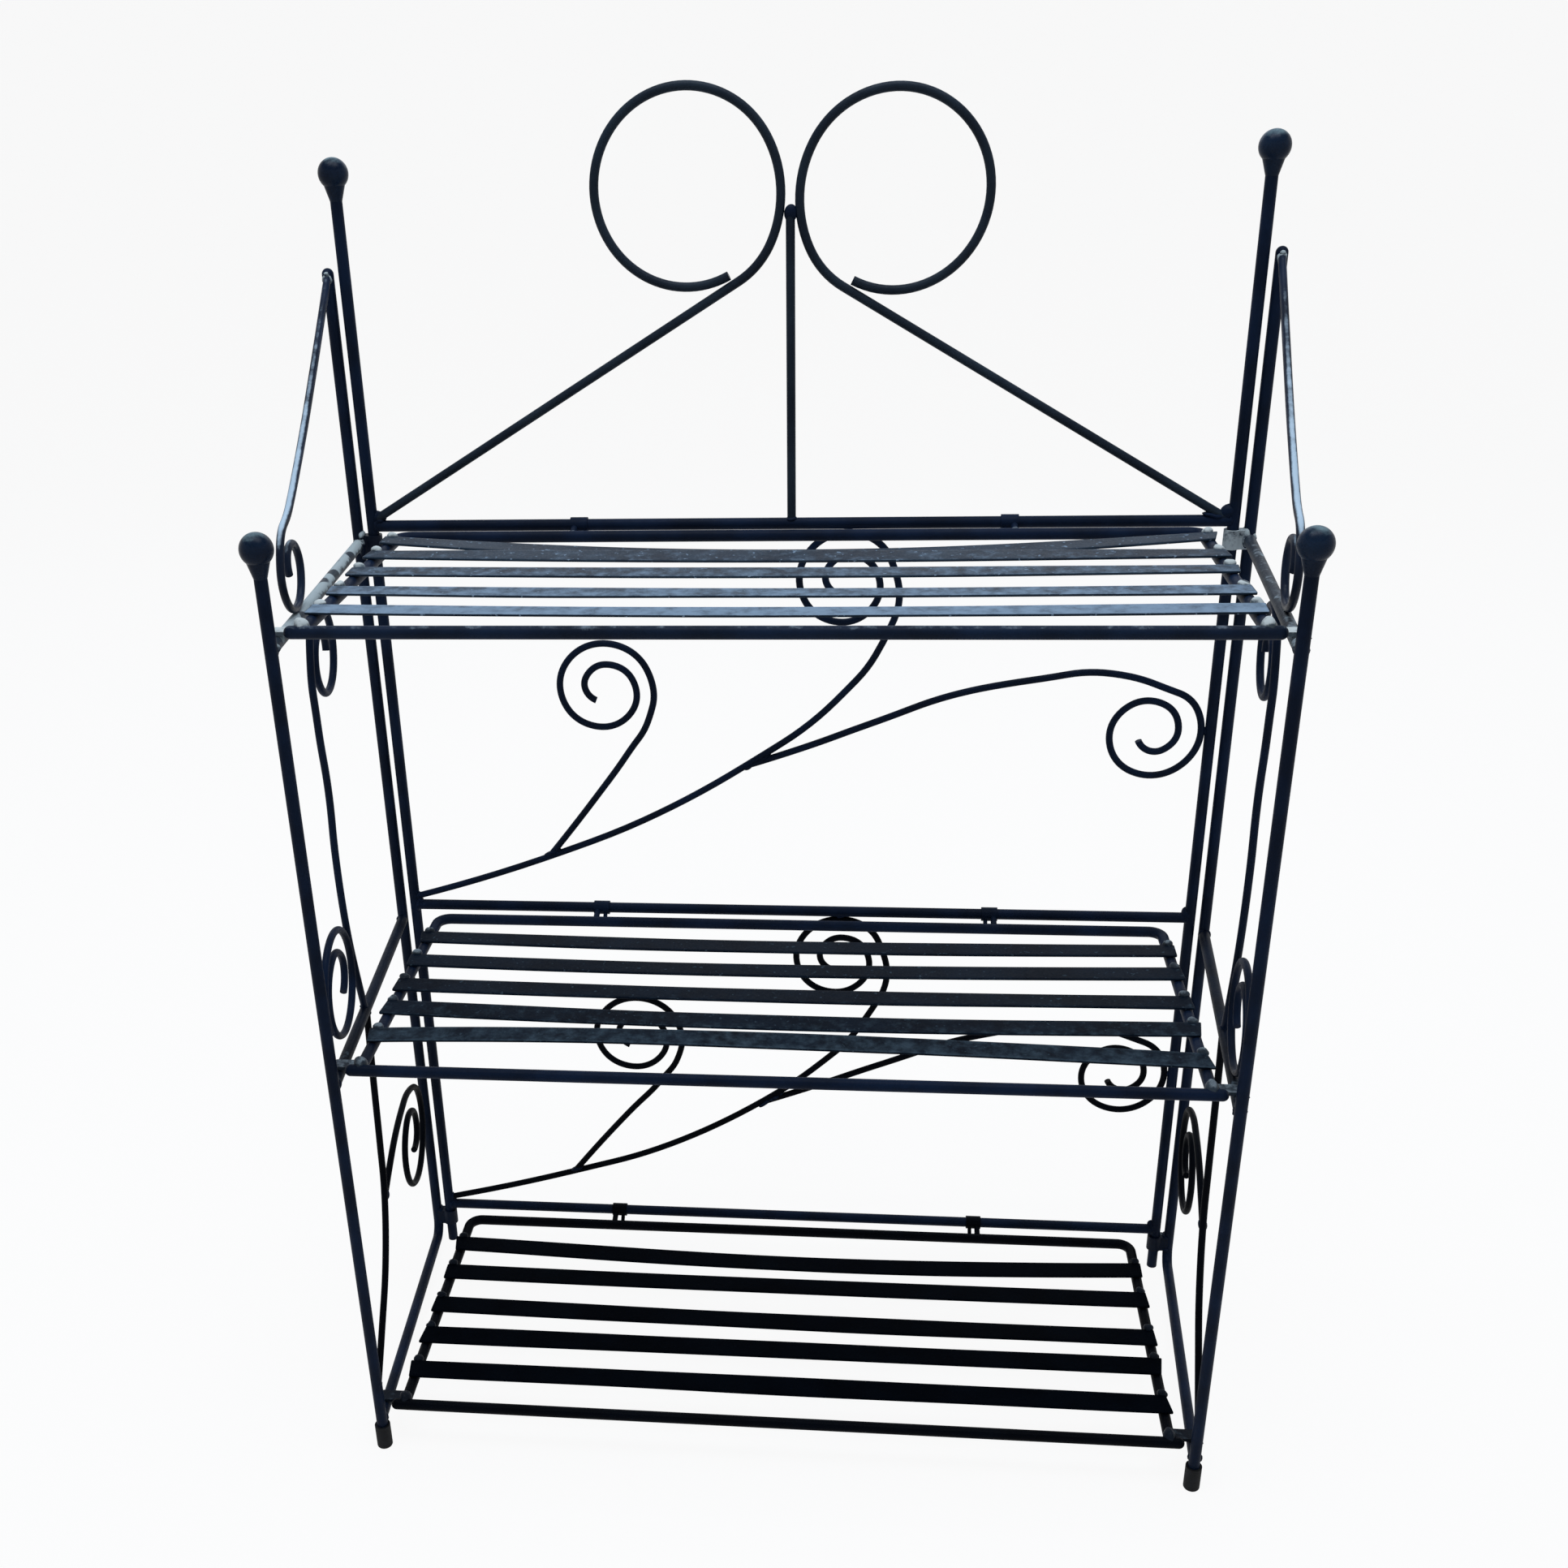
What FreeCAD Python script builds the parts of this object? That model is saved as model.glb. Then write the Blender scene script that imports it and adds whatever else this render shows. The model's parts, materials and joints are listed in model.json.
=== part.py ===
# Folding three-shelf bakers rack of round iron rod.
# The back stands in the XZ plane at Y = 0, the front faces -Y, and the floor is Z = 0.
import FreeCAD, Part
import Sketcher
import math
import os

doc = FreeCAD.newDocument("BakersRack")
sheet = doc.addObject("Spreadsheet::Sheet", "Dimensions")

SLAT_COUNT = 5

# Driving dimensions in millimetres; angles are in degrees, and sizes that start with = follow from others.
SIZES = (
    ("back_width", "600"),
    ("top_bar_height", "627"),
    ("middle_bar_height", "326"),
    ("bottom_bar_height", "37"),
    ("back_ball_rise", "232"),
    ("back_ball_height", "=top_bar_height + back_ball_rise"),
    ("front_ball_rise", "47"),
    ("front_ball_height", "=top_bar_height + front_ball_rise"),
    ("ball_diameter", "20"),
    ("neck_length", "7"),
    ("main_rod", "8"),
    ("crest_rod", "6"),
    ("scroll_rod", "5"),
    ("weld_gap", "0.15"),
    ("crest_loop_radius", "59.5"),
    ("crest_loop_rise", "216.5"),
    ("crest_rod_rise", "201"),
    ("crest_foot_drop", "4"),
    ("right_crest_drop", "4.5"),
    ("curl_radius", "37"),
    ("curl_eye_radius", "10"),
    ("side_curl_radius", "34"),
    ("upright_offset", "11.5"),
    ("side_depth", "253.6"),
    ("toe_in", "4.1"),
    ("peak_rise", "174"),
    ("elbow_radius", "12"),
    ("elbow_height", "7"),
    ("arm_curl_radius", "27"),
    ("arm_curl_eye_radius", "8"),
    ("front_curl_radius", "39"),
    ("front_curl_eye_radius", "12"),
    ("left_curl_lift", "10"),
    ("branch_curl_radius", "44"),
    ("foot_diameter", "11.4"),
    ("foot_length", "20"),
    ("foot_floor", "3"),
    ("foot_rounding", "1.5"),
    ("collar_wall", "1.6"),
    ("collar_length", "13"),
    ("collar_drop", "2"),
    ("running_gap", "0.3"),
    ("shelf_setback", "16.6"),
    ("shelf_drop", "4.3"),
    ("shelf_front_gap", "25.2"),
    ("shelf_depth", "=side_depth - shelf_front_gap"),
    ("shelf_side_gap", "23"),
    ("shelf_width", "=back_width - 2 * shelf_side_gap"),
    ("shelf_corner_radius", "10"),
    ("front_rod_overhang", "6"),
    ("slat_overhang", "4"),
    ("slat_length", "=shelf_width + 2 * slat_overhang"),
    ("slat_width", "18"),
    ("slat_thickness", "1.6"),
    ("first_slat_setback", "40.4"),
    ("last_slat_gap", "31"),
    ("slat_pitch", f"=(shelf_depth - first_slat_setback - last_slat_gap) / {SLAT_COUNT - 1}"),
    ("eye_spacing", "300"),
    ("eye_width", "12"),
    ("eye_wall", "1"),
    ("eye_wire", "4.5"),
    ("eye_tail_wire", "3.2"),
    ("eye_tail", "10"),
    ("hook_width", "10"),
    ("hook_thickness", "2.5"),
    ("hook_leg", "4"),
    ("hook_setback", "11"),
    ("hook_play", "0.4"),
    ("hook_splay", "45"),
)
for row, (alias, text) in enumerate(SIZES, start=1):
    sheet.set(f"A{row}", alias)
    sheet.set(f"B{row}", text)
    sheet.setAlias(f"B{row}", alias)
doc.recompute()

CURL_TURNS = 1.5
BACK_CURL_TURNS = 1.65
CURL_STEPS_PER_TURN = 6
CURL_EASE_RATIO = 1.5
CREST_EASE_RATIO = 0.2
STRAIGHT_SHARE = 1e-4
NECK_TOP_SHARE = 0.36
NECK_SINK_SHARE = 0.19
LOOP_TURN_SHARE = 0.99
RIGHT = FreeCAD.Vector(1, 0, 0)
FRONT = FreeCAD.Vector(0, -1, 0)
UP = FreeCAD.Vector(0, 0, 1)
GROWN = "Dimensions.weld_gap"
LOOSE = "Dimensions.running_gap"
pieces = []


def size(alias):
    """A driving dimension as a plain number."""
    return float(sheet.get(alias))


def bind(feature, name, formula):
    """Tie one of a feature's sizes to the sheet."""
    feature.setExpression(name, formula)


def radius_of(rod_name, gap="0"):
    """The formula for a rod's radius, grown by a named gap."""
    return f"Dimensions.{rod_name} / 2 + {gap}"


toe_in = math.radians(size("toe_in"))
back_line = size("side_depth") * math.cos(toe_in) / 2
centred = FreeCAD.Placement(FRONT * -back_line, FreeCAD.Rotation())


def keep(label, feature, placement=FreeCAD.Placement()):
    """Set a finished piece in its place, with the origin under the rack's middle, and mark it for writing."""
    feature.Label = label
    feature.Placement = centred.multiply(placement).multiply(feature.Placement)
    pieces.append(feature)


def straight_rod(rod_name, start, end, gap="0", length=None):
    """A straight round rod between two points; its length can be tied to the sheet."""
    rod = doc.addObject("Part::Cylinder", "StraightRod")
    run = end - start
    bind(rod, "Radius", radius_of(rod_name, gap))
    if length:
        bind(rod, "Height", length)
    else:
        rod.Height = run.Length
    rod.Placement = FreeCAD.Placement(start, FreeCAD.Rotation(UP, run))
    return rod


def arc_edge(start, along, end):
    """An arc, or a line, that leaves start in the given direction and reaches end."""
    chord = end - start
    across = chord - along * chord.dot(along)
    if across.Length < chord.Length * STRAIGHT_SHARE:
        return Part.LineSegment(start, end).toShape()
    across.normalize()
    bend = chord.dot(chord) / (2 * chord.dot(across))
    centre = start + across * bend
    middle = (start + end) * 0.5 - centre
    middle.normalize()
    return Part.Arc(start, centre + middle * bend, end).toShape()


def biarc(start, start_along, end, end_along):
    """Two tangent arcs from one point and direction to the next."""
    chord = end - start
    both = start_along + end_along
    turn = 2 * (1 - start_along.dot(end_along))
    reach = chord.dot(both)
    if turn < STRAIGHT_SHARE:
        arm = chord.dot(chord) / (2 * reach)
    else:
        arm = (math.sqrt(reach * reach + turn * chord.dot(chord)) - reach) / turn
    first = start + start_along * arm
    last = end - end_along * arm
    joint = (first + last) * 0.5
    joint_along = (last - first).normalize()
    return [arc_edge(start, start_along, joint), arc_edge(joint, joint_along, end)]


def direction_at(before, here, after):
    """The direction of the circle through three points, at the middle one."""
    come = here - before
    go = after - here
    return (come * (1 / come.dot(come)) + go * (1 / go.dot(go))).normalize()


def smooth_path(points, start_way=None):
    """A wire of tangent arcs through the points; the way that it starts can be given."""
    along = [direction_at(*points[k - 1:k + 2]) for k in range(1, len(points) - 1)]
    first = (points[1] - points[0]).normalize()
    last = (points[-1] - points[-2]).normalize()
    along.insert(0, start_way or (first * (2 * first.dot(along[0])) - along[0]).normalize())
    along.append((last * (2 * last.dot(along[-1])) - along[-1]).normalize())
    edges = []
    for k in range(len(points) - 1):
        edges += biarc(points[k], along[k], points[k + 1], along[k + 1])
    return Part.Wire(edges)


def branch_path(stem_path, stretches, share, points):
    """A path through the points that leaves a stem's axis after some stretches and a share of the next."""
    edge = stem_path.Edges[2 * stretches]
    span = edge.LastParameter - edge.FirstParameter
    return smooth_path([edge.valueAt(edge.FirstParameter + share * span)] + points)


def bent_rod(rod_name, path, gap="0"):
    """A round rod along a path of lines and tangent arcs."""
    spine = doc.addObject("Part::Feature", "RodPath")
    spine.Shape = path
    first = path.Edges[0]
    section = doc.addObject("Part::Circle", "RodSection")
    bind(section, "Radius", radius_of(rod_name, gap))
    turn = FreeCAD.Rotation(UP, first.tangentAt(first.FirstParameter))
    section.Placement = FreeCAD.Placement(first.valueAt(first.FirstParameter), turn)
    rod = doc.addObject("Part::Sweep", "BentRod")
    rod.Sections = [section]
    rod.Spine = (spine, [f"Edge{k + 1}" for k in range(len(path.Edges))])
    rod.Solid = True
    return rod


def coped(rod, *neighbours):
    """A rod with its ends cut to the shape of the rods that it is welded to."""
    for neighbour in neighbours:
        cut = doc.addObject("Part::Cut", "CopedRod")
        cut.Base = rod
        cut.Tool = neighbour
        rod = cut
    return rod


def group(parts):
    """Several like solids as one piece."""
    compound = doc.addObject("Part::Compound", "LikePieces")
    compound.Links = parts
    return compound


def fork_cutter(stem_path, stretches):
    """The stem about a fork, grown by the weld gap, which a branch is cut to."""
    about_fork = stem_path.Edges[2 * stretches - 1:2 * stretches + 2]
    return bent_rod("scroll_rod", Part.Wire(about_fork), GROWN)


def curl_radius_at(share, outer, inner, ease):
    """A curl's radius after a share of its length: slow to close at first, then quicker."""
    return outer - (outer - inner) * share ** ease


def curl(centre, first_angle, turns, outer, inner, ease=CURL_EASE_RATIO):
    """Points of a curl that closes in on its centre; negative turns run clockwise."""
    steps = round(abs(turns) * CURL_STEPS_PER_TURN)
    points = []
    for k in range(steps + 1):
        share = k / steps
        angle = math.radians(first_angle) + share * turns * math.tau
        reach = curl_radius_at(share, outer, inner, ease)
        points.append((centre[0] + reach * math.cos(angle), centre[1] + reach * math.sin(angle)))
    return points


def spread(shares, left, width, low, height):
    """Places from shares of a panel's width and height."""
    return [(left + across * width, low + up * height) for across, up in shares]


def in_back(places):
    """Points of the back frame from places across and up."""
    return [FreeCAD.Vector(across, 0, up) for across, up in places]


def in_side(places):
    """Points of a side frame, before it is set in place, from places forward and up."""
    return [FreeCAD.Vector(0, -forward, up) for forward, up in places]


def finial(label, ball_height, spot, placement=FreeCAD.Placement()):
    """A ball whose neck tapers to the post under it."""
    ball = doc.addObject("Part::Sphere", "Ball")
    bind(ball, "Radius", "Dimensions.ball_diameter / 2")
    ball.Placement.Base = spot + UP * size(ball_height)
    neck = doc.addObject("Part::Cone", "Neck")
    bind(neck, "Radius1", radius_of("main_rod"))
    bind(neck, "Radius2", f"Dimensions.ball_diameter * {NECK_TOP_SHARE}")
    bind(neck, "Height", f"Dimensions.neck_length + Dimensions.ball_diameter * {NECK_SINK_SHARE}")
    neck.Placement.Base = spot + UP * post_top(ball_height)
    whole = doc.addObject("Part::Fuse", "Finial")
    whole.Base = ball
    whole.Tool = neck
    keep(label, whole, placement)


def post_top(ball_height):
    """The height where a post ends and its finial's neck starts."""
    return size(ball_height) - size("ball_diameter") / 2 - size("neck_length")


def post_top_formula(ball_height):
    """The same height as a formula."""
    return f"Dimensions.{ball_height} - Dimensions.ball_diameter / 2 - Dimensions.neck_length"


main_radius = size("main_rod") / 2
crest_radius = size("crest_rod") / 2
scroll_radius = size("scroll_rod") / 2
half_width = size("back_width") / 2
BARS = ("top", "middle", "bottom")
SIDES = (("left", -1), ("right", 1))


def bar_height(name):
    """The height of a crossbar, by the axis."""
    return size(f"{name}_bar_height")


# Back frame: posts, finials and crossbars.
post_cutters = {}
for side, sign in SIDES:
    foot = FreeCAD.Vector(sign * half_width, 0, 0)
    head = foot + UP * post_top("back_ball_height")
    post = straight_rod("main_rod", foot, head, length=post_top_formula("back_ball_height"))
    keep(f"{side}_back_post", post)
    finial(f"{side}_back_finial", "back_ball_height", foot)
    post_cutters[side] = straight_rod("main_rod", foot, head, GROWN)
bar_cutters = {}
for name in BARS:
    ends = in_back([(-half_width, bar_height(name)), (half_width, bar_height(name))])
    bar = straight_rod("main_rod", *ends, length="Dimensions.back_width")
    keep(f"{name}_crossbar", coped(bar, post_cutters["left"], post_cutters["right"]))
    bar_cutters[name] = straight_rod("main_rod", *ends, GROWN)

# Crest: each rod climbs from the corner of post and crossbar and ends in a round loop.
loop_inner = size("crest_loop_radius")
loop_outer = loop_inner + size("crest_rod") + 2 * size("weld_gap")
LOOP_INSIDE_SHARE = 0.17
loop_inside = curl_radius_at(LOOP_INSIDE_SHARE, loop_outer, loop_inner, CREST_EASE_RATIO)
loop_height = bar_height("top") + size("crest_loop_rise")
loop_centre = (-loop_inside - size("crest_rod") - size("weld_gap"), loop_height)
crest_foot = (-half_width, bar_height("top") + main_radius + crest_radius - size("crest_foot_drop"))
climb = math.dist(crest_foot, loop_centre)
slope = math.atan2(loop_centre[1] - crest_foot[1], loop_centre[0] - crest_foot[0])
meet_angle = math.degrees(slope - math.asin(loop_outer / climb)) - 90
loop = curl(loop_centre, meet_angle, LOOP_TURN_SHARE, loop_outer, loop_inner, CREST_EASE_RATIO)
crest_drops = {"left": 0, "right": size("right_crest_drop")}
for side, sign in SIDES:
    drop = crest_drops[side]
    corner, *ring = in_back([(-sign * across, up - drop) for across, up in [crest_foot] + loop])
    run = Part.LineSegment(corner, ring[0]).toShape()
    ring_path = smooth_path(ring, (ring[0] - corner).normalize())
    crest = bent_rod("crest_rod", Part.Wire([run] + ring_path.Edges))
    keep(f"{side}_crest_scroll", coped(crest, post_cutters[side], bar_cutters["top"]))
centre_top = bar_height("top") + size("crest_rod_rise")
centre_rod = straight_rod("crest_rod", *in_back([(0, bar_height("top")), (0, centre_top)]))
keep("crest_centre_rod", coped(centre_rod, bar_cutters["top"]))

# Back scrolls, as shares of a bay's width from the left post and of its height from the lower bar.
UPPER_STEM_SHARES = ((0.175, 0.136), (0.31, 0.248), (0.42, 0.371), (0.552, 0.567), (0.6, 0.684))
LOWER_STEM_SHARES = ((0.179, 0.127), (0.31, 0.222), (0.44, 0.371), (0.523, 0.501), (0.583, 0.633))
UPPER_LEFT_SHARES = ((0.245, 0.295), (0.293, 0.425), (0.321, 0.512))
LOWER_LEFT_SHARES = ((0.27, 0.342), (0.317, 0.453), (0.341, 0.525))
UPPER_RIGHT_SHARES = ((0.52, 0.452), (0.592, 0.508), (0.7, 0.588), (0.785, 0.622), (0.87, 0.641))
LOWER_RIGHT_SHARES = ((0.53, 0.452), (0.61, 0.522), (0.735, 0.622), (0.833, 0.66))
UPPER_EYE_SHARES = (0.563, (0.268, 0.594), 0.491)
LOWER_EYE_SHARES = (0.558, (0.287, 0.598), 0.515)
UPPER_SHARES = (UPPER_STEM_SHARES, UPPER_LEFT_SHARES, UPPER_RIGHT_SHARES, UPPER_EYE_SHARES)
LOWER_SHARES = (LOWER_STEM_SHARES, LOWER_LEFT_SHARES, LOWER_RIGHT_SHARES, LOWER_EYE_SHARES)
LEFT_FORK_COUNT = 1
RIGHT_FORK_COUNT = 3
LEFT_FORK_SHARE = 0.15
RIGHT_FORK_SHARE = 0.3
curl_outer = size("curl_radius")
curl_inner = size("curl_eye_radius")
QUARTER_SHARE = 0.25
curl_quarter = curl_radius_at(QUARTER_SHARE / BACK_CURL_TURNS, curl_outer, curl_inner, CURL_EASE_RATIO)
touch = main_radius + scroll_radius + size("weld_gap")


def back_scrolls(bay, below, above, bay_shares):
    """A stem that rises from the lower left corner to a curl under the upper bar, and its two branches."""
    stem_shares, left_shares, right_shares, eyes = bay_shares
    stem_eye_share, left_eye_share, right_eye_share = eyes
    low = bar_height(below)
    height = bar_height(above) - low
    panel = (-half_width, size("back_width"), low, height)
    stem_eye = (-half_width + stem_eye_share * size("back_width"), low + height - touch - curl_quarter)
    stem_places = [(-half_width, low + touch)] + spread(stem_shares, *panel)
    stem_places += curl(stem_eye, 0, BACK_CURL_TURNS, curl_outer, curl_inner)
    stem_path = smooth_path(in_back(stem_places))
    keep(f"{bay}_back_stem", coped(bent_rod("scroll_rod", stem_path), post_cutters["left"]))
    left_eye = spread([left_eye_share], *panel)[0]
    left_places = spread(left_shares, *panel) + curl(left_eye, 0, BACK_CURL_TURNS, curl_outer, curl_inner)
    left_path = branch_path(stem_path, LEFT_FORK_COUNT, LEFT_FORK_SHARE, in_back(left_places))
    left_cutter = fork_cutter(stem_path, LEFT_FORK_COUNT)
    keep(f"{bay}_back_left_branch", coped(bent_rod("scroll_rod", left_path), left_cutter))
    right_eye = (half_width - touch - curl_quarter, low + right_eye_share * height)
    right_places = spread(right_shares, *panel)
    right_places += curl(right_eye, 90, -BACK_CURL_TURNS, curl_outer, curl_inner)
    right_path = branch_path(stem_path, RIGHT_FORK_COUNT, RIGHT_FORK_SHARE, in_back(right_places))
    right_cutter = fork_cutter(stem_path, RIGHT_FORK_COUNT)
    keep(f"{bay}_back_right_branch", coped(bent_rod("scroll_rod", right_path), right_cutter))


back_scrolls("upper", "middle", "top", UPPER_SHARES)
back_scrolls("lower", "bottom", "middle", LOWER_SHARES)


# Shelves: each hangs by two eyes on its crossbar and rests on the side rails by its front hooks.
def rods_height(name):
    """The height of a shelf's rods, by the axis."""
    return bar_height(name) - size("shelf_drop")


def rail_height(name):
    """The height of the rail, by the axis, under a shelf's hooks."""
    return rods_height(name) - 2 * main_radius - size("hook_play")


half_shelf = size("shelf_width") / 2
half_spacing = size("eye_spacing") / 2
rear_line = -size("shelf_setback")
front_line = rear_line - size("shelf_depth")
hook_line = front_line + size("hook_setback")
upright_x = half_width + size("upright_offset")
hook_half = size("hook_width") / 2
rail_x = upright_x + (hook_line + hook_half) * math.tan(toe_in)


def shelf_frame_path(height):
    """Side, rear and side rod in one, bent at the two rear corners."""
    bend = size("shelf_corner_radius")
    slack = bend * (1 - math.sqrt(0.5))
    front_left = FreeCAD.Vector(-half_shelf, front_line, height)
    rear_left = FreeCAD.Vector(-half_shelf, rear_line, height)
    rear_right = FreeCAD.Vector(half_shelf, rear_line, height)
    front_right = FreeCAD.Vector(half_shelf, front_line, height)
    left_arc = [rear_left + FRONT * bend, rear_left + (RIGHT + FRONT) * slack, rear_left + RIGHT * bend]
    right_arc = [rear_right - RIGHT * bend, rear_right + (FRONT - RIGHT) * slack, rear_right + FRONT * bend]
    edges = [
        Part.LineSegment(front_left, left_arc[0]),
        Part.Arc(*left_arc),
        Part.LineSegment(left_arc[-1], right_arc[0]),
        Part.Arc(*right_arc),
        Part.LineSegment(right_arc[-1], front_right),
    ]
    return Part.Wire([edge.toShape() for edge in edges])


def slat(height, number):
    """One flat slat across the side rods."""
    board = doc.addObject("Part::Box", "Slat")
    bind(board, "Length", "Dimensions.slat_length")
    bind(board, "Width", "Dimensions.slat_width")
    bind(board, "Height", "Dimensions.slat_thickness")
    middle = rear_line - size("first_slat_setback") - number * size("slat_pitch")
    lift = height + main_radius + size("weld_gap")
    board.Placement.Base = FreeCAD.Vector(-size("slat_length") / 2, middle - size("slat_width") / 2, lift)
    return board


def hinge_eye(name, sign, rear_cutter):
    """A band round the crossbar, with a leg that is welded to the shelf's rear rod and a tail in front."""
    middle = FreeCAD.Vector(sign * half_spacing, 0, bar_height(name))
    half_band = RIGHT * (size("eye_width") / 2)
    band = doc.addObject("Part::Cylinder", "EyeBand")
    bind(band, "Radius", f"{radius_of('main_rod', LOOSE)} + Dimensions.eye_wall")
    bind(band, "Height", "Dimensions.eye_width")
    band.Placement = FreeCAD.Placement(middle - half_band, FreeCAD.Rotation(UP, RIGHT))
    leg_start = middle + half_band * (sign / 2)
    seat = FreeCAD.Vector(0, rear_line, rods_height(name) - bar_height(name))
    leg = straight_rod("eye_wire", leg_start, leg_start + seat)
    tail_start = middle - half_band * (sign / 2)
    tail_way = (FRONT - UP).normalize() * size("eye_tail")
    tail = straight_rod("eye_tail_wire", tail_start, tail_start + tail_way)
    eye = doc.addObject("Part::MultiFuse", "HingeEye")
    eye.Shapes = [band, leg, tail]
    bore = straight_rod("main_rod", middle - half_band * 2, middle + half_band * 2, LOOSE)
    return coped(eye, bore, rear_cutter)


def front_hook(name, sign, frame_cutter):
    """A flat strip from the shelf's side rod over the rail, with its tip splayed down outside."""
    splay = size("hook_splay")
    bend_x = rail_x + (main_radius + size("hook_play")) * math.tan(math.radians(splay) / 2)
    edge = hook_line - hook_half
    face = rods_height(name) - main_radius
    start = FreeCAD.Vector(half_shelf, edge, face)
    bend = FreeCAD.Vector(bend_x, edge, face)
    strip = doc.addObject("Part::Box", "HookStrip")
    strip.Length = bend_x - half_shelf
    strip.Placement.Base = start
    leg = doc.addObject("Part::Box", "HookLeg")
    bind(leg, "Length", "Dimensions.hook_leg")
    leg.Placement = FreeCAD.Placement(bend, FreeCAD.Rotation(FRONT, -splay))
    for flat in (strip, leg):
        bind(flat, "Width", "Dimensions.hook_width")
        bind(flat, "Height", "Dimensions.hook_thickness")
    knee = doc.addObject("Part::Cylinder", "HookKnee")
    bind(knee, "Radius", "Dimensions.hook_thickness")
    bind(knee, "Height", "Dimensions.hook_width")
    bind(knee, "Angle", "Dimensions.hook_splay")
    knee.Placement = FreeCAD.Placement(bend, FreeCAD.Rotation(RIGHT, -90).multiply(FreeCAD.Rotation(UP, -90)))
    whole = doc.addObject("Part::MultiFuse", "FrontHook")
    whole.Shapes = [strip, knee, leg]
    hook = coped(whole, frame_cutter)
    if sign > 0:
        return hook
    mirror = doc.addObject("Part::Mirroring", "MirroredHook")
    mirror.Source = hook
    mirror.Normal = RIGHT
    return mirror


def domed_rod(ends):
    """A shelf's front rod with round ends."""
    length = "Dimensions.shelf_width + 2 * Dimensions.front_rod_overhang"
    whole = doc.addObject("Part::MultiFuse", "FrontRod")
    domes = []
    for end in ends:
        dome = doc.addObject("Part::Sphere", "RodEnd")
        bind(dome, "Radius", radius_of("main_rod"))
        dome.Placement.Base = end
        domes.append(dome)
    whole.Shapes = [straight_rod("main_rod", *ends, length=length)] + domes
    return whole


overhang = half_shelf + size("front_rod_overhang")
for name in BARS:
    height = rods_height(name)
    front_ends = [FreeCAD.Vector(sign * overhang, front_line, height) for _, sign in SIDES]
    keep(f"{name}_shelf_front_rod", domed_rod(front_ends))
    front_cutter = straight_rod("main_rod", *front_ends, GROWN)
    frame_path = shelf_frame_path(height)
    keep(f"{name}_shelf_frame", coped(bent_rod("main_rod", frame_path), front_cutter))
    frame_cutter = bent_rod("main_rod", frame_path, GROWN)
    keep(f"{name}_shelf_slats", group([slat(height, number) for number in range(SLAT_COUNT)]))
    keep(f"{name}_shelf_hinge_eyes", group([hinge_eye(name, sign, frame_cutter) for _, sign in SIDES]))
    keep(f"{name}_shelf_hooks", group([front_hook(name, sign, frame_cutter) for _, sign in SIDES]))


# Side frames: each is drawn in the YZ plane with its upright at the origin, then set beside its back post.
UPPER_S_SHARES = ((1.5, 0), (1.24, 0.105), (0.965, 0.25), (0.87, 0.437), (0.975, 0.586), (0.86, 0.75))
UPPER_S_EYE_SHARE = 1.755
LOWER_S_SHARES = (
    (0.576, 1), (0.603, 0.8), (0.623, 0.62), (0.64, 0.5),
    (0.74, 0.31), (0.88, 0.185), (1, 0.09),
)
LOWER_FORK_COUNT = 3
LOWER_FORK_SHARE = 0.3
LOWER_BRANCH_SHARES = ((0.55, 0.505), (0.461, 0.532), (0.35, 0.551))
LOWER_BRANCH_EYE_SHARES = (0.225, 0.4)
ARM_SHARES = ((0, 1), (0.256, 0.743), (0.505, 0.507), (0.68, 0.36))
ARM_EYE_SHARE = 0.73
ARM_CURL_TURNS = 1.15
ARM_CURL_START = 45
FRONT_CURL_TURNS = 1.7
FRONT_CURL_START = -25
FRONT_CURL_EASE_RATIO = 2.5
depth = size("side_depth")
top_rail = rail_height("top")
middle_rail = rail_height("middle")
hook_reach = (hook_half - hook_line) / math.cos(toe_in)
rail_rise = (rail_height("bottom") - size("elbow_height")) / hook_reach
rail_tilt = math.atan(rail_rise)
curl_lifts = {"left": size("left_curl_lift"), "right": 0}
dome_height = bar_height("top") + size("peak_rise") - main_radius


def bottom_rail_height(forward):
    """The height of the sloping bottom rail, by the axis."""
    return size("elbow_height") + forward * rail_rise


def upright_path():
    """The upright, the elbow at its foot and the bottom rail, all bent from one rod."""
    bend = size("elbow_radius")
    turn = math.pi / 2 + rail_tilt
    setback = bend * math.tan(turn / 2)
    corner = UP * size("elbow_height")
    rail_way = FRONT * math.cos(rail_tilt) + UP * math.sin(rail_tilt)
    bend_start = corner + UP * setback
    bend_end = corner + rail_way * setback
    middle = corner + (UP + rail_way).normalize() * (bend / math.cos(turn / 2) - bend)
    edges = [
        Part.LineSegment(UP * dome_height, bend_start),
        Part.Arc(bend_start, middle, bend_end),
        Part.LineSegment(bend_end, in_side([(depth, bottom_rail_height(depth))])[0]),
    ]
    return Part.Wire([edge.toShape() for edge in edges])


def upright_rod(gap="0"):
    """The upright's rod with its domed peak."""
    dome = doc.addObject("Part::Sphere", "UprightDome")
    bind(dome, "Radius", radius_of("main_rod", gap))
    dome.Placement.Base = UP * dome_height
    whole = doc.addObject("Part::Fuse", "Upright")
    whole.Base = bent_rod("main_rod", upright_path(), gap)
    whole.Tool = dome
    return whole


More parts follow.
